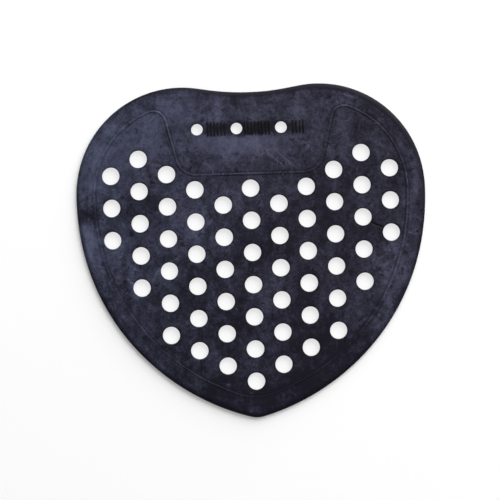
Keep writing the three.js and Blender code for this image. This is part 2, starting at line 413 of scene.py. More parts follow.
# %% [markdown]
# ## The bead
#
# The bead is a narrow crest with a shallow channel on each side, where the cutter that
# made the mould left its edge. The profile is the sum of two bell curves: a high narrow
# one for the crest and a low one, on the distance from the middle, for the channels.

# %% Bead
BEAD_HALF_WIDTH = 1.5 * MM
BEAD_CREST_SIZE = 0.36 * MM
CHANNEL_PLACE = 0.82 * MM
CHANNEL_SIZE = 0.26 * MM
CHANNEL_DEPTH = 0.07 * MM
BEAD_POINTS = 19
WITHIN_BAND = 0.499
bead_tree, given, result = new_tree("raised_bead", [
    GEOMETRY, ("Base Height", NUMBER, MAT_THICKNESS), ("Half Width", NUMBER, BEAD_HALF_WIDTH),
    ("Crest Height", NUMBER, BEAD_HEIGHT), ("Crest Size", NUMBER, BEAD_CREST_SIZE),
    ("Channel Place", NUMBER, CHANNEL_PLACE), ("Channel Size", NUMBER, CHANNEL_SIZE),
    ("Channel Depth", NUMBER, CHANNEL_DEPTH), ("Profile Points", WHOLE, BEAD_POINTS), MATERIAL_IN,
], SHAPE_OUT)


def bell(tree, distance, size, height):
    """A bell curve of a distance, with its size and height."""
    ratio = maths(tree, "DIVIDE", distance, size)
    fall = maths(tree, "MULTIPLY", maths(tree, "MULTIPLY", ratio, ratio), -1.0)
    return maths(tree, "MULTIPLY", maths(tree, "EXPONENT", fall), height)


step = add(bead_tree, "GeometryNodeInputIndex").outputs[0]
last_step = maths(bead_tree, "SUBTRACT", given["Profile Points"], 1.0)
share = maths(bead_tree, "SUBTRACT", maths(bead_tree, "DIVIDE", step, last_step), 0.5)
across = maths(bead_tree, "MULTIPLY", maths(bead_tree, "MULTIPLY", share, 2.0), given["Half Width"])
from_channel = maths(bead_tree, "SUBTRACT", maths(bead_tree, "ABSOLUTE", across), given["Channel Place"])
crest = bell(bead_tree, across, given["Crest Size"], given["Crest Height"])
channel = bell(bead_tree, from_channel, given["Channel Size"], given["Channel Depth"])
inside_band = maths(bead_tree, "LESS_THAN", maths(bead_tree, "ABSOLUTE", share), WITHIN_BAND)
lift = maths(bead_tree, "MULTIPLY", maths(bead_tree, "SUBTRACT", crest, channel), inside_band)
path = add(bead_tree, "GeometryNodeMeshToCurve", {0: given["Geometry"]}).outputs[0]
band = sweep_node(bead_tree, path, given["Profile Points"], across,
                  maths(bead_tree, "ADD", given["Base Height"], lift))
finish_tree(bead_tree, band, given["Material"], result)
bead_mesh = run_tree(bead_tree, path_mesh(bead_line), {"Material": rubber})
print("bead:", len(bead_mesh.polygons), "faces")

# %% [markdown]
# ## Walls of the holes
#
# Each hole is punched by a pin of the mould, so its wall is straight, and the rubber draws
# in a little round its top edge. One wall is made once, swept round a circle, and placed on
# points. A random stretch of one or two hundredths keeps the holes from looking stamped by
# a computer.

# %% One hole wall
HOLE_LIP = 0.45 * MM
HOLE_FACETS = 36
WALL_POINTS = 7
HOLE_UNEVENNESS = 0.014
wall, given, result = new_tree("hole_wall", [
    ("Radius", NUMBER, HOLE_RADIUS), ("Thickness", NUMBER, MAT_THICKNESS), ("Lip", NUMBER, HOLE_LIP),
    ("Facets", WHOLE, HOLE_FACETS), ("Profile Points", WHOLE, WALL_POINTS),
], SHAPE_OUT)
step = add(wall, "GeometryNodeInputIndex").outputs[0]
arc_steps = maths(wall, "SUBTRACT", given["Profile Points"], 2.0)
turned = maths(wall, "DIVIDE", maths(wall, "SUBTRACT", step, 1.0), arc_steps)
angle = maths(wall, "MULTIPLY", maths(wall, "MAXIMUM", turned, 0.0), RIGHT_ANGLE)
flare = maths(wall, "SUBTRACT", 1.0, maths(wall, "COSINE", angle))
rise = maths(wall, "MULTIPLY", maths(wall, "SINE", angle), given["Lip"])
straight = maths(wall, "SUBTRACT", given["Thickness"], given["Lip"])
above_foot = maths(wall, "GREATER_THAN", step, 0.5)
circle = add(wall, "GeometryNodeCurvePrimitiveCircle",
             {"Resolution": given["Facets"], "Radius": given["Radius"]}).outputs[0]
lining = sweep_node(wall, circle, given["Profile Points"],
                    maths(wall, "MULTIPLY", flare, given["Lip"]),
                    maths(wall, "MULTIPLY", maths(wall, "ADD", straight, rise), above_foot))
wall.links.new(lining, result["Geometry"])


def place_walls(tree, points, radius, seed):
    """Puts a hole wall on each point, each stretched a little in its own way."""
    one = add(tree, "GeometryNodeGroup", node_tree=wall)
    tree.links.new(radius, one.inputs["Radius"])
    least = (1 - HOLE_UNEVENNESS, 1 - HOLE_UNEVENNESS, 1.0)
    most = (1 + HOLE_UNEVENNESS, 1 + HOLE_UNEVENNESS, 1.0)
    size = add(tree, "FunctionNodeRandomValue", {0: least, 1: most, "Seed": seed}, data_type="FLOAT_VECTOR")
    return add(tree, "GeometryNodeInstanceOnPoints", {
        "Points": points, "Instance": one.outputs[0], "Scale": size.outputs[0]}).outputs[0]


# %% [markdown]
# ## The drain field
#
# The pattern is a staggered grid that is cut off by the bead: a place keeps its hole only
# where the whole hole and some land fit inside. In nodes that is a grid of points, moved by
# half a pitch in every second column. A ray down onto the filled bead line says whether a
# point is inside, and Geometry Proximity says how far it is from the line.

# %% Drain field
COLUMN_SPACING = HOLE_PITCH * math.cos(math.pi / 6)
COLUMNS = math.ceil(MAT_WIDTH / 2 / COLUMN_SPACING)
ROWS = math.ceil(MAT_LENGTH / HOLE_PITCH)
FIELD_SEED = 7
field, given, result = new_tree("drain_field", [
    GEOMETRY, ("Pitch", NUMBER, HOLE_PITCH), ("Column Spacing", NUMBER, COLUMN_SPACING),
    ("Columns Each Side", WHOLE, COLUMNS), ("Rows Each Side", WHOLE, ROWS),
    ("Centre Y", NUMBER, FIELD_Y), ("Hole Radius", NUMBER, HOLE_RADIUS), ("Land", NUMBER, HOLE_LAND),
    ("Seed", WHOLE, FIELD_SEED), MATERIAL_IN,
], SHAPE_OUT)
across_count = maths(field, "MULTIPLY_ADD", given["Columns Each Side"], 2.0, 1.0)
along_count = maths(field, "MULTIPLY_ADD", given["Rows Each Side"], 2.0, 1.0)
half_columns = maths(field, "MULTIPLY", given["Columns Each Side"], given["Column Spacing"])
half_rows = maths(field, "MULTIPLY", given["Rows Each Side"], given["Pitch"])
grid = add(field, "GeometryNodeMeshGrid", {
    "Size X": maths(field, "MULTIPLY", half_columns, 2.0),
    "Size Y": maths(field, "MULTIPLY", half_rows, 2.0),
    "Vertices X": across_count, "Vertices Y": along_count})
place = add(field, "GeometryNodeInputPosition").outputs[0]
grid_x = add(field, "ShaderNodeSeparateXYZ", {0: place}).outputs[0]
column = maths(field, "ROUND", maths(field, "DIVIDE", grid_x, given["Column Spacing"]))
is_odd = maths(field, "PINGPONG", column, 1.0)
stagger = maths(field, "MULTIPLY", maths(field, "MULTIPLY", is_odd, given["Pitch"]), 0.5)
shift = point(field, 0.0, maths(field, "ADD", stagger, given["Centre Y"]))
lattice = add(field, "GeometryNodeSetPosition", {"Geometry": grid.outputs[0], "Offset": shift})
bead_curve = add(field, "GeometryNodeMeshToCurve", {0: given["Geometry"]}).outputs[0]
bead_disc = add(field, "GeometryNodeFillCurve", {0: bead_curve}).outputs[0]
above = add(field, "ShaderNodeVectorMath", {0: place, 1: (0.0, 0.0, 1.0)}, operation="ADD").outputs[0]
inside = add(field, "GeometryNodeRaycast", {
    "Target Geometry": bead_disc, "Source Position": above,
    "Ray Direction": (0.0, 0.0, -1.0), "Ray Length": 2.0}).outputs["Is Hit"]
to_bead = add(field, "GeometryNodeProximity", {0: given["Geometry"]},
              target_element="EDGES").outputs["Distance"]
enough = maths(field, "ADD", given["Hole Radius"], given["Land"])
fits = maths(field, "GREATER_THAN", to_bead, enough)
kept = maths(field, "MULTIPLY", fits, inside)
sites = add(field, "GeometryNodeDeleteGeometry", {
    "Geometry": lattice.outputs[0], "Selection": maths(field, "LESS_THAN", kept, 0.5)})
walls = place_walls(field, sites.outputs[0], given["Hole Radius"], given["Seed"])
finish_tree(field, walls, given["Material"], result)
drain_mesh = run_tree(field, path_mesh(bead_line), {"Material": rubber})
wall_faces = HOLE_FACETS * (WALL_POINTS - 1)
print("drain field:", len(drain_mesh.polygons) // wall_faces, "holes")

# %% [markdown]
# ## Small holes and ribs of the panel
#
# The three small holes are the same wall on three given points. The ribs stand on a line of
# points, and a rib that would crowd a hole is left out, again by Geometry Proximity. The rib
# itself is a small bar with rounded edges, made once in mesh code.

# %% Small holes
SMALL_SEED = 3
small, given, result = new_tree("small_holes", [
    GEOMETRY, ("Radius", NUMBER, SMALL_HOLE_RADIUS), ("Seed", WHOLE, SMALL_SEED), MATERIAL_IN,
], SHAPE_OUT)
finish_tree(small, place_walls(small, given["Geometry"], given["Radius"], given["Seed"]),
            given["Material"], result)
small_places = [(x, ROW_Y, 0.0) for x in SMALL_HOLE_PLACES]
small_mesh = run_tree(small, point_mesh(small_places), {"Material": rubber})
print("small holes:", len(small_mesh.polygons) // wall_faces)

# %% Ribs
RIB_EDGE = 0.22 * MM
RIB_EDGE_STEPS = 3
RIB_UNEVENNESS = 0.12
RIB_SEED = 11


def rib_bar():
    """One bar with rounded edges; its lower part sits inside the mat."""
    bar = bmesh.new()
    bmesh.ops.create_cube(bar, size=1.0)
    for corner in bar.verts:
        corner.co = Vector((corner.co.x * RIB_WIDTH, corner.co.y * RIB_LENGTH,
                            corner.co.z * (RIB_HEIGHT + RIB_ROOT)))
    top = [edge for edge in bar.edges if max(vert.co.z for vert in edge.verts) > 0]
    bmesh.ops.bevel(bar, geom=top, offset=RIB_EDGE, segments=RIB_EDGE_STEPS, profile=0.5, affect="EDGES")
    for corner in bar.verts:
        corner.co.z += (RIB_HEIGHT - RIB_ROOT) / 2
    mesh = bpy.data.meshes.new("rib_bar")
    bar.to_mesh(mesh)
    bar.free()
    return bpy.data.objects.new("rib_bar", mesh)


ribs_tree, given, result = new_tree("rib_row", [
    GEOMETRY, ("Rib", "NodeSocketObject", None), ("Count", WHOLE, 1), ("Pitch", NUMBER, RIB_PITCH),
    ("Row Y", NUMBER, ROW_Y), ("Height", NUMBER, MAT_THICKNESS), ("Keep Off", NUMBER, 0.0),
    ("Unevenness", NUMBER, RIB_UNEVENNESS), ("Seed", WHOLE, RIB_SEED), MATERIAL_IN,
], SHAPE_OUT)
span = maths(ribs_tree, "MULTIPLY", maths(ribs_tree, "SUBTRACT", given["Count"], 1.0), given["Pitch"])
row = add(ribs_tree, "GeometryNodeMeshLine", {
    "Count": given["Count"],
    "Start Location": point(ribs_tree, maths(ribs_tree, "MULTIPLY", span, -0.5), given["Row Y"]),
    "Offset": point(ribs_tree, given["Pitch"])})
to_hole = add(ribs_tree, "GeometryNodeProximity", {0: given["Geometry"]}, target_element="POINTS")
crowded = maths(ribs_tree, "LESS_THAN", to_hole.outputs["Distance"], given["Keep Off"])
free = add(ribs_tree, "GeometryNodeDeleteGeometry", {"Geometry": row.outputs[0], "Selection": crowded})
raised = add(ribs_tree, "GeometryNodeSetPosition", {
    "Geometry": free.outputs[0], "Offset": point(ribs_tree, 0.0, 0.0, given["Height"])})
bar_shape = add(ribs_tree, "GeometryNodeObjectInfo", {"Object": given["Rib"]}).outputs["Geometry"]
shorter = maths(ribs_tree, "SUBTRACT", 1.0, given["Unevenness"])
stretched = add(ribs_tree, "FunctionNodeRandomValue", {
    0: point(ribs_tree, shorter, shorter, shorter), 1: (1.0, 1.0, 1.0), "Seed": given["Seed"],
}, data_type="FLOAT_VECTOR")
bars = add(ribs_tree, "GeometryNodeInstanceOnPoints", {
    "Points": raised.outputs[0], "Instance": bar_shape, "Scale": stretched.outputs[0]})
finish_tree(ribs_tree, bars.outputs[0], given["Material"], result)

RIB_COUNT = int((ROW_WIDTH - RIB_WIDTH) // RIB_PITCH) + 1
KEEP_OFF = SMALL_HOLE_RADIUS + HOLE_LIP + SMALL_HOLE_CLEARANCE + RIB_WIDTH / 2
bar_object = rib_bar()
rib_mesh = run_tree(ribs_tree, point_mesh(small_places), {
    "Rib": bar_object, "Count": RIB_COUNT, "Keep Off": KEEP_OFF, "Material": gloss})
rib_faces = len(bar_object.data.polygons)
bpy.data.objects.remove(bar_object)
print("ribs:", len(rib_mesh.polygons) // rib_faces)

# %% [markdown]
# ## Joining the strips with skins
#
# The rim, the bead and the hole walls are open strips. Between them lie the flat top and
# the flat underside, with 62 holes in them. A boolean could cut the holes, but it leaves
# long thin faces that can't be shaped afterwards. So the borders of the strips are given to
# a constrained Delaunay triangulation, with evenly spread points between them. The skins
# then share every border point with the strips, and the mat closes into one solid.

# %% Borders and marks
SKIN_SPACING = 1.35 * MM
UNDERSIDE_SPACING = 3.0 * MM
SKIN_SEED = 20


def strip_data(meshes):
    """All strips as one list of points and faces, and the edges that have one face."""
    places = []
    faces = []
    for mesh in meshes:
        start = len(places)
        places += [tuple(vertex.co) for vertex in mesh.vertices]
        faces += [[start + index for index in polygon.vertices] for polygon in mesh.polygons]
    uses = {}
    for face in faces:
        for here, there in zip(face, face[1:] + face[:1]):
            key = (min(here, there), max(here, there))
            uses[key] = uses.get(key, 0) + 1
    return np.array(places), faces, [edge for edge, count in uses.items() if count == 1]


strip_places, strip_faces, open_edges = strip_data([rim_mesh, bead_mesh, drain_mesh, small_mesh])
open_heights = strip_places[np.array(open_edges)[:, 0], 2]
top_edges = [edge for edge, z in zip(open_edges, open_heights) if z > MAT_THICKNESS / 2]
foot_edges = [edge for edge, z in zip(open_edges, open_heights) if z <= MAT_THICKNESS / 2]
print("open edges: top", len(top_edges), "underside", len(foot_edges))

# %% [markdown]
# Cracks and nicks are part of this mat's look. Each is a short chain of places with a depth
# and a width. Other marks are only in the film: light scuffs where something hard passed,
# and dark scrapes. They are chains too, with a strength in place of a depth. The skin gets
# extra points along each chain, so that there is mesh to press down and to carry the mark.

# %% Cracks and scuffs
CRACK_STEP = 0.3 * MM
CRACKS = [
    {"chain": [(63.0, 13.3), (65.2, 12.1), (67.1, 11.6), (69.3, 10.2)], "depth": 0.5, "width": 0.28},
    {"chain": [(-7.6, 84.0), (-7.0, 81.5), (-5.6, 79.2), (-4.4, 75.8)], "depth": 0.14, "width": 0.4},
    {"chain": [(-65.3, -13.6), (-62.8, -14.4), (-60.9, -16.9)], "depth": 0.25, "width": 0.35},
    {"chain": [(-27.6, -55.9), (-27.2, -60.0), (-27.5, -64.0)], "depth": 0.2, "width": 0.22},
    {"chain": [(46.2, -43.8), (46.8, -47.6), (46.5, -51.8)], "depth": 0.18, "width": 0.22},
]
SCUFFS = [
    {"chain": [(-53.6, -14.7), (-50.6, -9.6), (-46.2, -5.2), (-39.8, -2.4)], "strength": 0.39,
     "width": 0.6},
    {"chain": [(-51.2, -11.6), (-46.8, -7.9), (-41.6, -5.8)], "strength": 0.3, "width": 0.5},
    {"chain": [(-54.0, 48.0), (-48.0, 46.6), (-42.6, 44.2)], "strength": 0.39, "width": 0.7},
    {"chain": [(-52.0, 44.9), (-46.0, 43.4), (-41.8, 41.6)], "strength": 0.33, "width": 0.6},
    {"chain": [(-66.2, -12.6), (-62.6, -15.6), (-58.6, -18.4)], "strength": 0.45, "width": 0.8},
    {"chain": [(8.4, 52.8), (13.0, 48.6), (17.8, 44.6)], "strength": 0.36, "width": 0.45},
    {"chain": [(12.8, 53.6), (18.2, 48.8), (24.6, 43.4)], "strength": 0.3, "width": 0.4},
    {"chain": [(5.0, 49.4), (7.8, 52.0), (11.6, 54.2)], "strength": 0.24, "width": 0.4},
    {"chain": [(42.7, -46.0), (43.0, -50.4), (42.4, -54.8)], "strength": 0.39, "width": 0.35},
    {"chain": [(-90.4, 24.2), (-84.6, 21.4), (-81.8, 15.6)], "strength": -0.36, "width": 1.1},
    {"chain": [(-88.6, 17.6), (-87.2, 6.0), (-83.4, -6.0)], "strength": 0.3, "width": 1.0},
    {"chain": [(82.6, 7.6), (85.4, 6.6), (89.0, 7.2)], "strength": 0.42, "width": 0.45},
    {"chain": [(-28.9, -54.6), (-28.5, -59.4), (-29.0, -64.0)], "strength": -0.39, "width": 0.5},
    {"chain": [(59.5, 14.6), (63.6, 13.4), (69.2, 10.2)], "strength": -0.45, "width": 0.9},
    {"chain": [(-8.6, 83.6), (-7.0, 79.8), (-6.2, 74.6)], "strength": -0.39, "width": 1.2},
    {"chain": [(24.0, 36.6), (27.6, 33.4), (30.2, 28.6)], "strength": -0.33, "width": 0.9},
    {"chain": [(30.4, 54.4), (31.0, 54.8), (31.8, 54.6)], "strength": 0.6, "width": 0.6},
    {"chain": [(-16.0, -69.2), (-14.8, -69.8), (-14.0, -70.2)], "strength": 0.6, "width": 0.7},
    {"chain": [(50.0, 81.4), (52.6, 80.8), (55.6, 79.4)], "strength": 0.45, "width": 0.6},
]


def chain_points(chain):
    """Evenly spaced places along a chain given in millimetres."""
    corners = np.array(chain) * MM
    places = [corners[0]]
    for start, end in zip(corners[:-1], corners[1:]):
        count = max(int(np.linalg.norm(end - start) / CRACK_STEP), 1)
        places += list(np.linspace(start, end, count + 1)[1:])
    return np.array(places)


def mark_points():
    """Five rows of places for each mark: its middle and two on each side."""
    rows = []
    for mark in CRACKS + SCUFFS:
        middle = chain_points(mark["chain"])
        along = np.gradient(middle, axis=0)
        across = np.stack([-along[:, 1], along[:, 0]], axis=1)
        across /= np.linalg.norm(across, axis=1)[:, None]
        reach = across * mark["width"] * MM
        rows += [middle, middle + reach, middle - reach, middle + 2 * reach, middle - 2 * reach]
    return np.concatenate(rows)


# %% [markdown]
# A point is inside the mat where a ray from it crosses the borders an odd number of times.
# The same test serves the loose points, the finished triangles and the side of the bead.

# %% Skins
MARK_CLEARANCE = 0.15 * MM
SPREAD_CLEARANCE = 0.55
SPREAD_JITTER = 0.18
MERGE_DISTANCE = 1e-9


def odd_crossings(places, starts, ends):
    """For each place, whether a ray from it crosses the edges an odd number of times."""
    odd = np.zeros(len(places), bool)
    x, y = places[:, 0], places[:, 1]
    for (x0, y0), (x1, y1) in zip(starts, ends):
        if y0 == y1:
            continue
        spans = (y0 > y) != (y1 > y)
        odd ^= spans & (x < x0 + (x1 - x0) * (y - y0) / (y1 - y0))
    return odd


def spread_points(spacing, seed):
    """A staggered grid of places over the mat's box, each moved a little at random."""
    random = np.random.default_rng(seed)
    row_spacing = spacing * math.cos(math.pi / 6)
    rows = int(MAT_LENGTH / row_spacing)
    columns = int(MAT_WIDTH / spacing)
    grid = [((column + row % 2 / 2) * spacing - MAT_WIDTH / 2, row * row_spacing - MAT_LENGTH / 2)
            for row in range(rows + 1) for column in range(columns + 1)]
    return np.array(grid) + random.uniform(-SPREAD_JITTER, SPREAD_JITTER, (len(grid), 2)) * spacing


def clear_of(places, others, distance):
    """The places that lie at least a distance from all the others."""
    tree = kdtree.KDTree(len(others))
    for index, (x, y) in enumerate(others):
        tree.insert((x, y, 0), index)
    tree.balance()
    return places[[tree.find((x, y, 0))[2] >= distance for x, y in places]]


def skin(all_places, edges, height, spacing, extra):
    """Fills the area inside an odd number of borders. Gives the new places and the faces."""
    borders = sorted({index for edge in edges for index in edge})
    border_xy = all_places[borders, :2]
    starts = all_places[[edge[0] for edge in edges], :2]
    ends = all_places[[edge[1] for edge in edges], :2]
    if len(extra):
        extra = clear_of(extra[odd_crossings(extra, starts, ends)], border_xy, MARK_CLEARANCE)
    loose = spread_points(spacing, SKIN_SEED)
    loose = loose[odd_crossings(loose, starts, ends)]
    fixed = np.concatenate([border_xy, extra]) if len(extra) else border_xy
    loose = clear_of(loose, fixed, SPREAD_CLEARANCE * spacing)
    inner = np.concatenate([extra, loose]) if len(extra) else loose
    flat = [Vector(place) for place in np.concatenate([border_xy, inner])]
    order = {index: number for number, index in enumerate(borders)}
    local_edges = [(order[start], order[end]) for start, end in edges]
    coords, _, triangles, origins, _, _ = delaunay_2d_cdt(flat, local_edges, [], 0, MERGE_DISTANCE, True)
    number_of = borders + [len(all_places) + index for index in range(len(inner))]
    corners = np.array([[coords[index][:] for index in triangle] for triangle in triangles])
    keep = odd_crossings(corners.mean(axis=1), starts, ends)
    faces = [[number_of[origins[index][0]] for index in triangle]
             for triangle, kept in zip(triangles, keep) if kept]
    return np.column_stack([inner, np.full(len(inner), height)]), faces


top_places, top_faces = skin(strip_places, top_edges, MAT_THICKNESS, SKIN_SPACING, mark_points())
all_places = np.concatenate([strip_places, top_places])
foot_places, foot_faces = skin(all_places, foot_edges, 0.0, UNDERSIDE_SPACING, np.zeros((0, 2)))
all_places = np.concatenate([all_places, foot_places])
print("skins: top", len(top_faces), "faces, underside", len(foot_faces), "faces")

# %% [markdown]
# ## An uneven top
#
# Moulded rubber is never quite flat: it shrinks, and it is pulled off the tool while soft.
# A small tree lowers the top by two layers of noise, a slow one for the waves and a fast
# one for the skin's grain. It only ever goes down, so the mat stays inside the solid's box,
# and it fades out down the walls, so the underside stays flat on the ground.

# %% Close the mat and make its top uneven
WAVE_DEPTH = 0.16 * MM
WAVE_SIZE = 17.0 * MM
GRAIN_DEPTH = 0.05 * MM
GRAIN_SIZE = 4.0 * MM
UNEVEN_SEED = 5
UNEVEN_FROM = 0.4
uneven, given, result = new_tree("uneven_top", [
    GEOMETRY, ("Thickness", NUMBER, MAT_THICKNESS), ("Wave Depth", NUMBER, WAVE_DEPTH),
    ("Wave Size", NUMBER, WAVE_SIZE), ("Grain Depth", NUMBER, GRAIN_DEPTH),
    ("Grain Size", NUMBER, GRAIN_SIZE), ("Seed", NUMBER, UNEVEN_SEED), MATERIAL_IN,
], SHAPE_OUT)


def noise_layer(tree, size, depth, seed):
    """How far one layer of noise lowers a place."""
    scale = maths(tree, "DIVIDE", 1.0, size)
    waves = add(tree, "ShaderNodeTexNoise", {"W": seed, "Scale": scale, "Detail": 2.0},
                noise_dimensions="4D").outputs[0]
    return maths(tree, "MULTIPLY", maths(tree, "MULTIPLY", waves, depth), -1.0)


lowered = maths(uneven, "ADD",
                noise_layer(uneven, given["Wave Size"], given["Wave Depth"], given["Seed"]),
                noise_layer(uneven, given["Grain Size"], given["Grain Depth"], given["Seed"]))
height = add(uneven, "ShaderNodeSeparateXYZ",
             {0: add(uneven, "GeometryNodeInputPosition").outputs[0]}).outputs[2]
upper_part = maths(uneven, "MULTIPLY", given["Thickness"], UNEVEN_FROM)
near_top = eased(uneven, height, upper_part, given["Thickness"])
moved = add(uneven, "GeometryNodeSetPosition", {
    "Geometry": given["Geometry"],
    "Offset": point(uneven, 0.0, 0.0, maths(uneven, "MULTIPLY", lowered, near_top))})
finish_tree(uneven, moved.outputs[0], given["Material"], result)


def closed_mesh(name, places, faces):
    """A mesh with its faces turned outwards, after a test that it is closed."""
    mesh = bpy.data.meshes.new(name)
    mesh.from_pydata([tuple(place) for place in places], [], faces)
    shape = bmesh.new()
    shape.from_mesh(mesh)
    loose = [vert for vert in shape.verts if not vert.link_faces]
    bmesh.ops.delete(shape, geom=loose, context="VERTS")
    bmesh.ops.recalc_face_normals(shape, faces=shape.faces)
    open_count = sum(1 for edge in shape.edges if len(edge.link_faces) != 2)
    print(name, "has", len(shape.faces), "faces and", open_count, "open edges")
    shape.to_mesh(mesh)
    shape.free()
    return mesh


mat_mesh = closed_mesh("mat", all_places, strip_faces + top_faces + foot_faces)
mat_mesh = run_tree(uneven, mat_mesh, {"Material": rubber})

# %% [markdown]
# ## Pressing in the cracks and measuring the surface
#
# The finish later needs to know how far a place is from the rim, the bead and the nearest
# hole. These distances are worked out here once for each vertex and stored as attributes in
# millimetres, which a material can read like any other value.

# %% Distances
def distance_to(places, line, closed=True):
    """Distance from each place to a line, and how far along the line the nearest point is."""
    ends = np.roll(line, -1, axis=0) if closed else line[1:]
    starts = line if closed else line[:-1]
    nearest = np.full(len(places), np.inf)
    travelled = np.zeros(len(places))
    run = 0.0
    for start, end in zip(starts, ends):
        edge = end - start
        length = np.linalg.norm(edge)
        share = np.clip((places - start) @ edge / length**2, 0, 1)
        gap = np.linalg.norm(places - start - share[:, None] * edge, axis=1)
        closer = gap < nearest
        nearest[closer] = gap[closer]
        travelled[closer] = run + share[closer] * length
        run += length
    return nearest, travelled / run


def hole_gaps(places, centres, radius):
    """Distance from each place to the nearest hole's wall."""
    gap = np.full(len(places), np.inf)
    for centre in centres:
        gap = np.minimum(gap, np.linalg.norm(places - centre, axis=1) - radius)
    return gap


vertex_places = np.array([vertex.co[:] for vertex in mat_mesh.vertices])
flat_places = vertex_places[:, :2]
drain_places = np.array([vertex.co[:2] for vertex in drain_mesh.vertices])
per_hole = HOLE_FACETS * WALL_POINTS
drain_centres = drain_places.reshape(-1, per_hole, 2).mean(axis=1)
edge_depth, along_rim = distance_to(flat_places, outline)
bead_gap, _ = distance_to(flat_places, bead_line)
bead_starts, bead_ends = bead_line, np.roll(bead_line, -1, axis=0)
bead_side = np.where(odd_crossings(flat_places, bead_starts, bead_ends), -1.0, 1.0)
hole_gap = np.minimum(hole_gaps(flat_places, drain_centres, HOLE_RADIUS),
                      hole_gaps(flat_places, np.array(small_places)[:, :2], SMALL_HOLE_RADIUS))
print("deepest place:", round(edge_depth.max() / MM, 1), "mm inside the rim")

# %% [markdown]
# Brushes and cloths wear a bead unevenly. Two sine waves, one bent by the other, decide how
# much of the crest is gone at a place. That is simpler than noise, and no repeat shows.

# %% Press in the cracks and wear the bead
WORN_SHARE = 0.95
WORN_WAVE = 8.0 * MM
WORN_WAVE_RATIO = 1.6
WORN_WAVE_BEND = 2
WORN_MEAN = 0.7
WORN_SWING = 0.25
TOP_FROM = 0.8
TOP_RANGE = 0.15
MARK_END = 0.15
near_top = np.clip((vertex_places[:, 2] / MAT_THICKNESS - TOP_FROM) / TOP_RANGE, 0, 1)


def marks(places, chains, key):
    """The strongest of several soft marks at each place, with its ends faded out."""
    total = np.zeros(len(places))
    for mark in chains:
        gap, along = distance_to(places, np.array(mark["chain"]) * MM, closed=False)
        taper = np.sqrt(np.clip(np.sin(along * math.pi) + MARK_END, 0, 1))
        here = np.exp(-(gap / (mark["width"] * MM)) ** 2) * taper * mark[key]
        total = np.where(np.abs(here) > np.abs(total), here, total)
    return total


crack_depth = marks(flat_places, CRACKS, "depth")
bend = WORN_WAVE_BEND * np.sin(flat_places[:, 1] / WORN_WAVE / WORN_WAVE_RATIO)
wave = np.sin(flat_places[:, 0] / WORN_WAVE + bend)
on_crest = np.exp(-(bead_gap / BEAD_CREST_SIZE) ** 2)
bead_wear = WORN_SHARE * (WORN_MEAN + WORN_SWING * wave) * BEAD_HEIGHT * on_crest
vertex_places[:, 2] -= (crack_depth * MM + bead_wear) * near_top
mat_mesh.vertices.foreach_set("co", vertex_places.ravel())

# %% [markdown]
# The run along the rim is stored as a place on a circle and not as a length. A length
# would jump from its end back to zero, and a pattern on it would show a seam there.

# %% Attributes
RIM_LOOP_RADIUS = 90.0


def store(mesh, name, values):
    """Stores one number for each vertex."""
    stored = mesh.attributes.new(name, "FLOAT", "POINT")
    stored.data.foreach_set("value", np.asarray(values, np.float32))


store(mat_mesh, "edge_depth", edge_depth / MM)
store(mat_mesh, "bead_offset", bead_gap * bead_side / MM)
store(mat_mesh, "hole_gap", hole_gap / MM)
store(mat_mesh, "crack", crack_depth)
scuff = marks(flat_places, SCUFFS, "strength")
store(mat_mesh, "scuff", scuff)
print("scuffs from", round(scuff.min(), 2), "to", round(scuff.max(), 2))
store(mat_mesh, "rim_run_x", np.cos(along_rim * 2 * math.pi) * RIM_LOOP_RADIUS)
store(mat_mesh, "rim_run_y", np.sin(along_rim * 2 * math.pi) * RIM_LOOP_RADIUS)
mat_mesh.shade_smooth()
mat = bpy.data.objects.new("mat", mat_mesh)
bpy.context.scene.collection.objects.link(mat)
rib_mesh.shade_smooth()
rib_row = bpy.data.objects.new("rib_row", rib_mesh)
bpy.context.scene.collection.objects.link(rib_row)
print("mat:", len(mat_mesh.vertices), "vertices; lowest", vertex_places[:, 2].min(),
      "highest", vertex_places[:, 2].max())

# %% [markdown]
# ## Shared effects of the finish
#
# Both materials show the same film, at different strengths, and the mat's rubber uses the
# scratches and the soft patches more than once. Each effect is a shader node group with
# named inputs that puts out one value. The shader itself stays in the material.
#
# The film, called bloom, is wax and sulphur that creep out of the rubber and dry as a pale
# blue grey veil. It lies in clouds and in patches with clearer borders, is wiped into
# slanting streaks, and is missing in small spots.

# %% Bloom group
VALUE_OUT = [("Value", NUMBER)]


def object_place(tree):
    """Object coordinates, in metres."""
    return add(tree, "ShaderNodeTexCoord").outputs["Object"]


def noise(tree, vector, size, detail=2.0, rough=0.5, distortion=0.0, stretch=(1, 1, 1), turn=0.0):
    """Noise of a given size in metres, stretched along turned axes."""
    mapped = add(tree, "ShaderNodeMapping", {
        "Vector": vector, "Rotation": (0.0, 0.0, turn), "Scale": tuple(1 / size / part for part in stretch)})
    return add(tree, "ShaderNodeTexNoise", {
        "Vector": mapped.outputs[0], "Scale": 1.0, "Detail": detail, "Roughness": rough,
        "Distortion": distortion}).outputs[0]


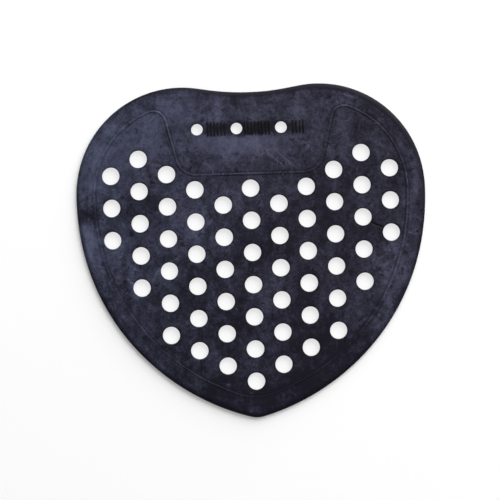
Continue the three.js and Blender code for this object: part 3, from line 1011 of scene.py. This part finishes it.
CLOUD_SIZE = 24.0 * MM
STREAK_SIZE = 6.0 * MM
PATCH_SIZE = 9.0 * MM
MOTTLE_SIZE = 3.4 * MM
SPECK_SIZE = 1.1 * MM
SPOT_SIZE = 3.0 * MM
FLECK_SIZE = 1.7 * MM
STREAK_STRETCH = 3.5
STREAK_TURN = 0.5
PATCH_BORDER = (0.42, 0.58, 0.39, 0.61)
SPOT_BORDER = (0.62, 0.68)
FLECK_BORDER = (0.68, 0.76)
bloom, given, result = new_tree("bloom_film", [
    ("Clouds", NUMBER, 1.0), ("Streaks", NUMBER, 1.0), ("Patches", NUMBER, 1.0), ("Mottle", NUMBER, 1.0),
    ("Specks", NUMBER, 1.0), ("Dark Spots", NUMBER, 0.2), ("Light Flecks", NUMBER, 0.2),
], VALUE_OUT, kind="ShaderNodeTree")
where = object_place(bloom)
streaks = noise(bloom, where, STREAK_SIZE, detail=3.0, distortion=0.6, stretch=(1, STREAK_STRETCH, 1),
                turn=STREAK_TURN)
patches = noise(bloom, where, PATCH_SIZE, detail=3.0, rough=0.55, distortion=1.0)
layers = (
    ("Clouds", noise(bloom, where, CLOUD_SIZE, distortion=0.7)),
    ("Streaks", streaks),
    ("Patches", eased(bloom, patches, *PATCH_BORDER)),
    ("Mottle", noise(bloom, where, MOTTLE_SIZE, detail=3.0, rough=0.65, distortion=0.6)),
    ("Specks", noise(bloom, where, SPECK_SIZE, detail=2.0, rough=0.7)),
)
total = 0.0
for label, layer in layers:
    total = maths(bloom, "MULTIPLY_ADD", maths(bloom, "SUBTRACT", layer, 0.5), given[label], total)
spots = eased(bloom, noise(bloom, where, SPOT_SIZE, distortion=0.8), *SPOT_BORDER)
flecks = eased(bloom, noise(bloom, where, FLECK_SIZE, distortion=0.5), *FLECK_BORDER)
total = maths(bloom, "SUBTRACT", total, maths(bloom, "MULTIPLY", spots, given["Dark Spots"]))
total = maths(bloom, "MULTIPLY_ADD", flecks, given["Light Flecks"], total)
bloom.links.new(total, result["Value"])

# %% [markdown]
# Scratches are noise stretched a dozen times along one direction, cut off to the thin line
# where it crosses its middle value. A second, slow noise leaves them in some places only.
#
# A soft patch is an ellipse with a ragged edge. It stands for a place where the film was
# wiped off or where it lies thick. Its centre, reach and turn are inputs, so that one group
# serves every such place.

# %% Scratches and patches groups
SCRATCH_STRETCH = 14.0
SCRATCHED_AREA_SIZE = 14.0 * MM
SCRATCHED_AREA_BORDER = (0.50, 0.64)
scratches, given, result = new_tree("fine_scratches", [
    ("Angle", NUMBER, 0.0), ("Spacing", NUMBER, 0.002), ("Line", NUMBER, 0.02), ("Amount", NUMBER, 1.0),
], VALUE_OUT, kind="ShaderNodeTree")
turned_place = add(scratches, "ShaderNodeVectorRotate", {
    "Vector": object_place(scratches), "Angle": given["Angle"]}, rotation_type="Z_AXIS").outputs[0]
parts = add(scratches, "ShaderNodeSeparateXYZ", {0: turned_place}).outputs
long_spacing = maths(scratches, "MULTIPLY", given["Spacing"], SCRATCH_STRETCH)
lines = add(scratches, "ShaderNodeTexNoise", {
    "Vector": point(scratches, maths(scratches, "DIVIDE", parts[0], long_spacing),
                    maths(scratches, "DIVIDE", parts[1], given["Spacing"])),
    "Scale": 1.0, "Detail": 3.0, "Roughness": 0.7}).outputs[0]
off_middle = maths(scratches, "ABSOLUTE", maths(scratches, "SUBTRACT", lines, 0.5))
thin = eased(scratches, off_middle, 0.0, given["Line"], 1.0, 0.0)
here_only = eased(scratches, noise(scratches, turned_place, SCRATCHED_AREA_SIZE), *SCRATCHED_AREA_BORDER)
amount = maths(scratches, "MULTIPLY", maths(scratches, "MULTIPLY", thin, here_only), given["Amount"])
scratches.links.new(amount, result["Value"])

RAGGED_SIZE = 7.0 * MM
PATCH_FADE = (1.2, 0.15)
soft_patch, given, result = new_tree("soft_patch", [
    ("X", NUMBER, 0.0), ("Y", NUMBER, 0.0), ("Length", NUMBER, 0.02), ("Width", NUMBER, 0.02),
    ("Turn", NUMBER, 0.0), ("Ragged", NUMBER, 0.6), ("Amount", NUMBER, 1.0),
], VALUE_OUT, kind="ShaderNodeTree")
where = object_place(soft_patch)
from_centre = add(soft_patch, "ShaderNodeVectorMath", {
    0: where, 1: point(soft_patch, given["X"], given["Y"])}, operation="SUBTRACT").outputs[0]
straight = add(soft_patch, "ShaderNodeVectorRotate", {
    "Vector": from_centre, "Angle": maths(soft_patch, "MULTIPLY", given["Turn"], -1.0)},
    rotation_type="Z_AXIS").outputs[0]
parts = add(soft_patch, "ShaderNodeSeparateXYZ", {0: straight}).outputs
reach = add(soft_patch, "ShaderNodeVectorMath", {
    0: point(soft_patch, maths(soft_patch, "DIVIDE", parts[0], given["Length"]),
             maths(soft_patch, "DIVIDE", parts[1], given["Width"]))}, operation="LENGTH").outputs["Value"]
ragged = noise(soft_patch, where, RAGGED_SIZE, detail=3.0, distortion=1.0)
ragged = maths(soft_patch, "SUBTRACT", ragged, 0.5)
raggedness = maths(soft_patch, "MULTIPLY", given["Ragged"], 2.0)
reach = maths(soft_patch, "MULTIPLY_ADD", ragged, raggedness, reach)
covered = eased(soft_patch, reach, *PATCH_FADE)
soft_patch.links.new(maths(soft_patch, "MULTIPLY", covered, given["Amount"]), result["Value"])


def group_value(tree, group, settings):
    """Places a group in a tree and gives its one value."""
    node = add(tree, "ShaderNodeGroup", node_tree=group)
    for label, value in settings.items():
        node.inputs[label].default_value = value
    return node.outputs["Value"]


# %% [markdown]
# ## The rubber
#
# The base is a blue black. The film is lighter towards the upper left, partly bloom and partly
# painted sheen, and it lies thicker on the sides of the rim. The rim's edge is darker, partly
# worn and partly painted shade of the rounded edge. More painted shade lies on the lobes and
# grows towards the top of the mat, against the main lamp's light, and painted shade rings the
# lips of the holes. All of it is added up as one number, the strength of the film, which thus
# also carries the painted sheen and shade. Its square mixes the two colours: the eye sees about
# the root of the light, so equal steps of film then look like equal steps. The same number sets
# the roughness: bare rubber shines a little more.
#
# First come the large places, listed as soft patches that add film or take it away.

# %% Where the film is thick or thin
FILM_PLACES = [
    # x, y, length, width (mm), turn (degrees), strength
    (-76, 52, 27, 21, 55, 0.21),
    (-42, 73, 20, 9, 5, 0.16),
    (-6, 60, 34, 13, 2, 0.30),
    (4, 54, 26, 9, 0, 0.16),
    (-18, 46, 12, 6, 0, 0.16),
    (-50, 57, 14, 12, 0, 0.14),
    (-88, 36, 7, 9, 90, 0.16),
    (-86, 6, 18, 9, 98, 0.30),
    (-74, 0, 14, 12, 90, 0.22),
    (-86, 21, 8, 5, 20, -0.24),
    (-52, 25, 14, 9, 30, -0.2),
    (-52, 80, 9, 6, 10, -0.12),
    (40, 84, 13, 6, 5, -0.16),
    (-34, 12, 17, 20, 20, 0.14),
    (-58, -32, 24, 15, -55, 0.12),
    (-46, -12, 12, 8, 30, 0.22),
    (-88, 13, 7, 5, 90, 0.16),
    (-55, -56, 14, 6, -50, 0.14),
    (62, -9, 8, 9, 90, 0.16),
    (52, -35, 9, 8, 60, 0.26),
    (-22, -56, 8, 7, 0, 0.16),
    (-2, -26, 7, 7, 0, -0.14),
    (75, -14, 30, 13, 72, 0.34),
    (68, -40, 16, 9, 60, 0.36),
    (86, 24, 27, 8, 92, 0.22),
    (62, 22, 12, 12, 0, 0.10),
    (58, 68, 20, 12, -30, -0.14),
    (32, 40, 10, 8, 0, -0.12),
    (8, 4, 22, 19, 90, -0.16),
    (24, -18, 16, 12, 20, -0.06),
    (38, -50, 26, 14, 50, -0.12),
    (-2, -74, 36, 10, 0, -0.16),
    (10, -30, 8, 10, 0, 0.08),
    (-2, 65, 34, 4.6, 0, -0.8),
]

# %% [markdown]
# Then come the colours and the values of the wear and of the painted shade. A fade is written
# as the start and the end of its way and then, where they aren't 0 and 1, as the value at each.
# The fades of the rim, the lips and the lobes' band run over a stored distance, in millimetres.

# %% Colours, wear and painted shade of the rubber
DEEP_RUBBER = (0.0020, 0.0013, 0.0078, 1.0)
BLUE_FILM = (0.072, 0.082, 0.141, 1.0)
VIOLET_FILM = (0.081, 0.078, 0.133, 1.0)
# Near black for the cracks: painted shade inside them.
CRACK_SHADE_COLOUR = (0.0015, 0.0015, 0.002, 1.0)
FILM_LEVEL = 0.46
# Lighter film towards the upper left: partly bloom, partly painted sheen.
FILM_AND_SHEEN_PER_METRE_LEFT = 1.35
FILM_AND_SHEEN_PER_METRE_UP = 2.3
FILM_MOST = 1.3
FILM_COVER = 0.78
BLOOM_AMOUNTS = {
    "Clouds": 0.45, "Streaks": 0.6, "Patches": 0.6, "Mottle": 0.6, "Specks": 0.7,
    "Dark Spots": 0.28, "Light Flecks": 0.24}
CALM_FADE = (0.55, 1.0, 1.15, 0.62)
WIPED_LINES = {"Angle": 0.9, "Spacing": 0.0016, "Line": 0.025, "Amount": 0.2}
CROSSED_LINES = {"Angle": -0.6, "Spacing": 0.0022, "Line": 0.02, "Amount": 0.16}

RIM_STREAK_LENGTH = 12.0
RIM_STREAK_STRETCH = 5.0
RIM_STREAK_FADE = (10.0, 7.0, 0.0, 0.5)
# Darker towards the rim's edge: partly wear, partly painted shade of the rounded edge.
RIM_WEAR_AND_SHADE_FADE = (4.6, 0.9, 0.0, -0.1)
EDGE_WEAR_AND_SHADE_FADE = (1.8, 0.3, 0.0, -0.2)
# Painted shade on the rim's edge that grows towards the top, against the main lamp's light.
TOP_RIM_SHADE_AZIMUTH = math.radians(15)
TOP_RIM_SHADE_FADE = (45.0 * MM, 85.0 * MM, 0.0, -0.65)
TOP_RIM_SHADE_BAND = (3.8, 0.7)
# Painted shade round the lips of the holes.
HOLE_LIP_SHADE_FADE = (1.6, 0.2, 0.0, -0.07)
# Lines beside the bead: painted shade in its channels and a painted highlight on its crest, partly dirt and
# polish.
BEAD_DIRT_AND_SHADE_LINES = [(-0.75, 0.9, -0.20), (0.15, 0.55, 0.11), (1.15, 0.8, -0.11)]
BEAD_DIRT_AND_SHADE_FADE = (0.35, 0.65, 0.5, 1.5)
CRACK_FADE = (0.05, 0.25)
VIOLET_FADE = (-70.0 * MM, 40.0 * MM, -0.15, 0.75)
VIOLET_CLOUDS = 0.5

RUBBER_ROUGHNESS = (0.6, 0.68)
RUBBER_SPECULAR = 0.18
RELIEF_GRAIN_SIZE = 0.9 * MM
RELIEF_GRAIN_SHARE = 0.35
RELIEF_SWIRL_SIZE = 6.0 * MM
RELIEF_STRENGTH = 0.35
RELIEF_DEPTH = 0.12 * MM

# %% [markdown]
# A few helpers keep the trees readable. They read a stored value, add up values, mix
# colours, spread a share between two values and turn a relief into a bumped normal.

# %% Material helpers
def attribute(tree, name):
    """One of the values stored on the mesh."""
    return add(tree, "ShaderNodeAttribute", attribute_name=name).outputs["Fac"]


def total_of(tree, *values):
    """The sum of several values."""
    total = values[0]
    for value in values[1:]:
        total = maths(tree, "ADD", total, value)
    return total


def colour_mix(tree, share, first, second):
    """Mixes two colours."""
    return add(tree, "ShaderNodeMix", {0: share, 6: first, 7: second}, data_type="RGBA").outputs[2]


def between(tree, share, low, high):
    """Spreads a share from 0 to 1 between two values."""
    return add(tree, "ShaderNodeMapRange", {0: share, 1: 0.0, 2: 1.0, 3: low, 4: high}).outputs[0]


def relief_normal(tree, strength, depth, relief):
    """Turns a relief into a bumped normal."""
    node = add(tree, "ShaderNodeBump", {"Strength": strength, "Distance": depth, "Height": relief})
    return node.outputs[0]


# %% Strength of the film and its painted sheen
rubber.use_nodes = True
tree = rubber.node_tree
shader = tree.nodes["Principled BSDF"]
place = add(tree, "ShaderNodeSeparateXYZ", {0: object_place(tree)}).outputs
# The film is set lighter towards the upper left: partly bloom, partly painted sheen.
film_sheen_and_shade = total_of(tree, maths(tree, "MULTIPLY", place[0], -FILM_AND_SHEEN_PER_METRE_LEFT),
                maths(tree, "MULTIPLY", place[1], FILM_AND_SHEEN_PER_METRE_UP), FILM_LEVEL)
for x, y, length, width, turn, strength in FILM_PLACES:
    film_sheen_and_shade = total_of(tree, film_sheen_and_shade, group_value(tree, soft_patch, {
        "X": x * MM, "Y": y * MM, "Length": length * MM, "Width": width * MM,
        "Turn": math.radians(turn), "Amount": strength}))
clouds = group_value(tree, bloom, BLOOM_AMOUNTS)
clouds = maths(tree, "MULTIPLY", clouds, eased(tree, film_sheen_and_shade, *CALM_FADE))
wiped = group_value(tree, scratches, WIPED_LINES)
crossed = group_value(tree, scratches, CROSSED_LINES)
print("film:", len(FILM_PLACES), "places")

# %% [markdown]
# What is darkened follows the stored distances: the rim's edge, partly worn and partly painted
# shade, and the lips of the holes, with painted shade. The lobes look darkest, so a second band
# of painted shade there grows towards the top of the mat, against the main lamp's light. Beside
# the bead, thin lines run along it, painted shade in its channels and a painted highlight on its
# crest, partly dirt and polish, and they come and go with a slow noise.

# %% Wear and painted shade of the rim, the holes and the bead
edge = attribute(tree, "edge_depth")
bead_at = attribute(tree, "bead_offset")
rim_place = point(tree, attribute(tree, "rim_run_x"), attribute(tree, "rim_run_y"),
                  maths(tree, "MULTIPLY", edge, RIM_STREAK_STRETCH))
along_rim = maths(tree, "SUBTRACT", noise(tree, rim_place, RIM_STREAK_LENGTH, detail=3.0), 0.5)
rim_streaks = maths(tree, "MULTIPLY", along_rim, eased(tree, edge, *RIM_STREAK_FADE))
# Darker towards the rim's edge: partly wear, partly painted shade of the rounded edge.
rim_wear_and_shade = total_of(tree, eased(tree, edge, *RIM_WEAR_AND_SHADE_FADE), eased(tree, edge, *EDGE_WEAR_AND_SHADE_FADE))
# Painted shade on the rim's edge that grows towards the top of the mat, against the main lamp's light there.
up_the_mat = total_of(tree, maths(tree, "MULTIPLY", place[0], math.sin(TOP_RIM_SHADE_AZIMUTH)),
                      maths(tree, "MULTIPLY", place[1], math.cos(TOP_RIM_SHADE_AZIMUTH)))
top_rim_shade = maths(tree, "MULTIPLY", eased(tree, edge, *TOP_RIM_SHADE_BAND),
                     eased(tree, up_the_mat, *TOP_RIM_SHADE_FADE))
# Painted shade round the lips of the holes.
hole_lip_shade = eased(tree, attribute(tree, "hole_gap"), *HOLE_LIP_SHADE_FADE)


def line_on_bead(place, reach, strength):
    """A soft line beside the bead, at a distance in millimetres outside its middle."""
    gap = maths(tree, "ABSOLUTE", maths(tree, "SUBTRACT", bead_at, place))
    return eased(tree, gap, reach, 0.0, 0.0, strength)


# Lines beside the bead: painted shade in its channels and a painted highlight on its crest, partly dirt and
# polish.
bead_dirt_and_shade = total_of(tree, *[line_on_bead(*line) for line in BEAD_DIRT_AND_SHADE_LINES])
bead_fade = eased(tree, noise(tree, object_place(tree), CLOUD_SIZE), *BEAD_DIRT_AND_SHADE_FADE)
bead_dirt_and_shade = maths(tree, "MULTIPLY", bead_dirt_and_shade, bead_fade)
film_sheen_and_shade = total_of(tree, film_sheen_and_shade, clouds, wiped, crossed, rim_streaks, rim_wear_and_shade, top_rim_shade, hole_lip_shade,
                bead_dirt_and_shade, attribute(tree, "scuff"))
film_sheen_and_shade = maths(tree, "MAXIMUM", maths(tree, "MINIMUM", film_sheen_and_shade, FILM_MOST), 0.0)

# %% Rubber material
violet = total_of(tree, eased(tree, place[0], *VIOLET_FADE),
                  maths(tree, "MULTIPLY", noise(tree, object_place(tree), CLOUD_SIZE), VIOLET_CLOUDS))
film_colour = colour_mix(tree, violet, BLUE_FILM, VIOLET_FILM)
cover = maths(tree, "MULTIPLY", maths(tree, "MULTIPLY", film_sheen_and_shade, film_sheen_and_shade), FILM_COVER)
colour = colour_mix(tree, cover, DEEP_RUBBER, film_colour)
# The cracks turn a near black: painted shade inside them.
colour = colour_mix(tree, eased(tree, attribute(tree, "crack"), *CRACK_FADE), colour, CRACK_SHADE_COLOUR)
tree.links.new(colour, shader.inputs["Base Color"])
tree.links.new(between(tree, film_sheen_and_shade, *RUBBER_ROUGHNESS), shader.inputs["Roughness"])
shader.inputs["Specular IOR Level"].default_value = RUBBER_SPECULAR
grain = noise(tree, object_place(tree), RELIEF_GRAIN_SIZE, detail=3.0)
swirl = noise(tree, object_place(tree), RELIEF_SWIRL_SIZE, detail=3.0, distortion=1.2)
relief = total_of(tree, maths(tree, "MULTIPLY", grain, RELIEF_GRAIN_SHARE), swirl,
                  maths(tree, "MULTIPLY", wiped, -1.0))
tree.links.new(relief_normal(tree, RELIEF_STRENGTH, RELIEF_DEPTH, relief), shader.inputs["Normal"])
print("rubber:", len(tree.nodes), "nodes")

# %% [markdown]
# ## Polished ribs
#
# The ribs stand proud, so everything that passes rubs them. They have lost the film and
# show the black rubber with a shine, and only a trace of the clouds is left on them.

# %% Rib material
BARE_RIB = (0.0008, 0.0008, 0.001, 1.0)
DULL_RIB = (0.016, 0.016, 0.026, 1.0)
RIB_BLOOM = {"Clouds": 0.3, "Patches": 0.6, "Mottle": 0.9, "Specks": 0.6}
RIB_FILM_LEVEL = 0.12
RIB_ROUGHNESS = (0.28, 0.55)
RIB_GRAIN_SIZE = 1.2 * MM
RIB_RELIEF_STRENGTH = 0.5
RIB_RELIEF_DEPTH = 0.1 * MM

gloss.use_nodes = True
tree = gloss.node_tree
shader = tree.nodes["Principled BSDF"]
share = maths(tree, "ADD", group_value(tree, bloom, RIB_BLOOM), RIB_FILM_LEVEL, clamp=True)
tree.links.new(colour_mix(tree, share, BARE_RIB, DULL_RIB), shader.inputs["Base Color"])
tree.links.new(between(tree, share, *RIB_ROUGHNESS), shader.inputs["Roughness"])
shader.inputs["Specular IOR Level"].default_value = RUBBER_SPECULAR
relief = noise(tree, object_place(tree), RIB_GRAIN_SIZE, detail=3.0)
normal = relief_normal(tree, RIB_RELIEF_STRENGTH, RIB_RELIEF_DEPTH, relief)
tree.links.new(normal, shader.inputs["Normal"])
print("ribs:", len(tree.nodes), "nodes")

# %% [markdown]
# ## What the pieces stand for
#
# Both pieces are the same moulding as the one imported solid, so both replace it and ride on its
# body.

# %% Tie the pieces to the frame
for piece in (mat, rib_row):
    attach(piece, "root")
    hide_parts("screen")

# %% [markdown]
# ## Floor
#
# The mat lies on white. The floor is a plain diffuse white, and for the camera and for
# reflections it adds a little light of its own, so that the open floor comes out white
# while the shadow stays. A card under the mat does the same for the floor inside the holes.
# It adds more, because the walls of rubber would otherwise darken it.

# %% Floor and card
FLOOR_SIZE = 4.0
FLOOR_DROP = 0.05 * MM
CARD_DROP = 0.02 * MM
CARD_INSET = 0.965
FLOOR_ALBEDO = 0.90
FLOOR_GLOW = 0.12
CARD_ALBEDO = 0.38
CARD_GLOW = 0.67


def seen_white(name, albedo, glow):
    """A white that adds a little light of its own for the camera and for reflections."""
    white = bpy.data.materials.new(name)
    white.use_nodes = True
    tree = white.node_tree
    tree.nodes.clear()
    diffuse = add(tree, "ShaderNodeBsdfDiffuse", {"Color": (albedo, albedo, albedo, 1.0)})
    rays = add(tree, "ShaderNodeLightPath").outputs
    seen = maths(tree, "MAXIMUM", rays["Is Camera Ray"],
                 maths(tree, "MAXIMUM", rays["Is Glossy Ray"], rays["Is Transmission Ray"]))
    light = add(tree, "ShaderNodeEmission", {"Color": (1.0, 1.0, 1.0, 1.0),
                                             "Strength": maths(tree, "MULTIPLY", seen, glow)})
    both = add(tree, "ShaderNodeAddShader", {0: diffuse.outputs[0], 1: light.outputs[0]})
    output = add(tree, "ShaderNodeOutputMaterial")
    tree.links.new(both.outputs[0], output.inputs["Surface"])
    return white


def flat_sheet(name, line, height, material):
    """A flat face inside a line, which isn't part of the object."""
    mesh = bpy.data.meshes.new(name)
    mesh.from_pydata([(x, y, height) for x, y in line], [], [list(range(len(line)))])
    mesh.materials.append(material)
    sheet = bpy.data.objects.new(name, mesh)
    bpy.context.scene.collection.objects.link(sheet)
    return sheet


corner = FLOOR_SIZE / 2
floor_line = [(-corner, -corner), (corner, -corner), (corner, corner), (-corner, corner)]
floor = flat_sheet("floor", floor_line, -FLOOR_DROP, seen_white("floor_white", FLOOR_ALBEDO, FLOOR_GLOW))
card_white = seen_white("card_white", CARD_ALBEDO, CARD_GLOW)
card = flat_sheet("card", outline * CARD_INSET, -CARD_DROP, card_white)
print("under the mat:", floor.name, "and", card.name)

# %% [markdown]
# ## Light
#
# The shadow falls to the lower left and is soft, and there is none above the lobes. So the
# main light is a large soft box on the upper right. A second one overhead gives the flat
# rubber its sheen, and a plain pale world fills in. Each lamp's power is worked out from
# the share of light that it should give a white floor.

# %% Lamps and world
KEY_SHARE = 0.66
KEY_AZIMUTH = math.radians(31)
KEY_HEIGHT_ANGLE = math.radians(27)
KEY_DISTANCE = 3.0
KEY_SIZE = 3.4
TOP_SHARE = 0.10
TOP_DISTANCE = 3.0
TOP_SIZE = 2.4
WORLD_SHARE = 0.24
LAMP_CELLS = 24
STRAIGHT_UP = 0.999


def lamp_power(direction, distance, size, share):
    """The power at which a square lamp gives the floor a share of a full plain light."""
    side = Vector((0, 0, 1)).cross(direction) if abs(direction.z) < STRAIGHT_UP else Vector((1, 0, 0))
    side.normalize()
    upright = direction.cross(side)
    steps = (np.arange(LAMP_CELLS) + 0.5) / LAMP_CELLS - 0.5
    gathered = 0.0
    for along in steps:
        for across in steps:
            spot = direction * distance + (side * along + upright * across) * size
            way = spot.normalized()
            gathered += max(way.z, 0.0) * way.dot(direction) / spot.length_squared
    return share * math.pi**2 * LAMP_CELLS**2 / gathered


def soft_box(name, direction, distance, size, share):
    """A square lamp that looks at the mat and gives that share of a full plain light."""
    lamp = bpy.data.lights.new(name, "AREA")
    lamp.shape = "SQUARE"
    lamp.size = size
    lamp.energy = lamp_power(direction, distance, size, share)
    holder = bpy.data.objects.new(name, lamp)
    holder.location = direction * distance
    holder.rotation_euler = direction.to_track_quat("Z", "Y").to_euler()
    bpy.context.scene.collection.objects.link(holder)
    print(name, "power", round(lamp.energy, 1), "W")
    return holder


key_way = Vector((math.sin(KEY_AZIMUTH) * math.cos(KEY_HEIGHT_ANGLE),
                  math.cos(KEY_AZIMUTH) * math.cos(KEY_HEIGHT_ANGLE), math.sin(KEY_HEIGHT_ANGLE)))
soft_box("key_box", key_way, KEY_DISTANCE, KEY_SIZE, KEY_SHARE)
soft_box("top_box", Vector((0.0, 0.0, 1.0)), TOP_DISTANCE, TOP_SIZE, TOP_SHARE)
world = bpy.data.worlds.new("studio")
world.use_nodes = True
background = world.node_tree.nodes["Background"]
background.inputs["Color"].default_value = (1.0, 1.0, 1.0, 1.0)
background.inputs["Strength"].default_value = WORLD_SHARE
bpy.context.scene.world = world
bpy.context.scene.view_settings.view_transform = "Standard"

# %% [markdown]
# ## Camera
#
# The photograph looks straight down on the mat, which lies turned by not quite two degrees.
# The holes are the ruler: their pitch gives the scale, so the camera's height follows from
# the lens, and the place of one hole of the pattern in the frame gives where it stands.

# %% Camera
FRAME_PIXELS = 500
PIXELS_PER_PITCH = 32.266
MAT_TURN = math.radians(1.77)
FIELD_CENTRE_PIXEL = (253.6, 284.7)
LENS = 100.0
SENSOR = 36.0

metres_per_pixel = HOLE_PITCH / PIXELS_PER_PITCH
right = np.array([math.cos(MAT_TURN), -math.sin(MAT_TURN)])
up = np.array([math.sin(MAT_TURN), math.cos(MAT_TURN)])
shift_right = (FIELD_CENTRE_PIXEL[0] - FRAME_PIXELS / 2) * metres_per_pixel
shift_up = (FRAME_PIXELS / 2 - FIELD_CENTRE_PIXEL[1]) * metres_per_pixel
stand = np.array([0.0, FIELD_Y]) - right * shift_right - up * shift_up
camera_height = MAT_THICKNESS + FRAME_PIXELS * metres_per_pixel * LENS / SENSOR
lens = bpy.data.cameras.new("camera")
lens.lens = LENS
lens.sensor_width = SENSOR
camera = bpy.data.objects.new("camera", lens)
camera.location = (stand[0], stand[1], camera_height)
camera.rotation_euler = (0.0, 0.0, -MAT_TURN)
bpy.context.scene.collection.objects.link(camera)
bpy.context.scene.camera = camera
print("camera at", [round(value, 4) for value in camera.location])
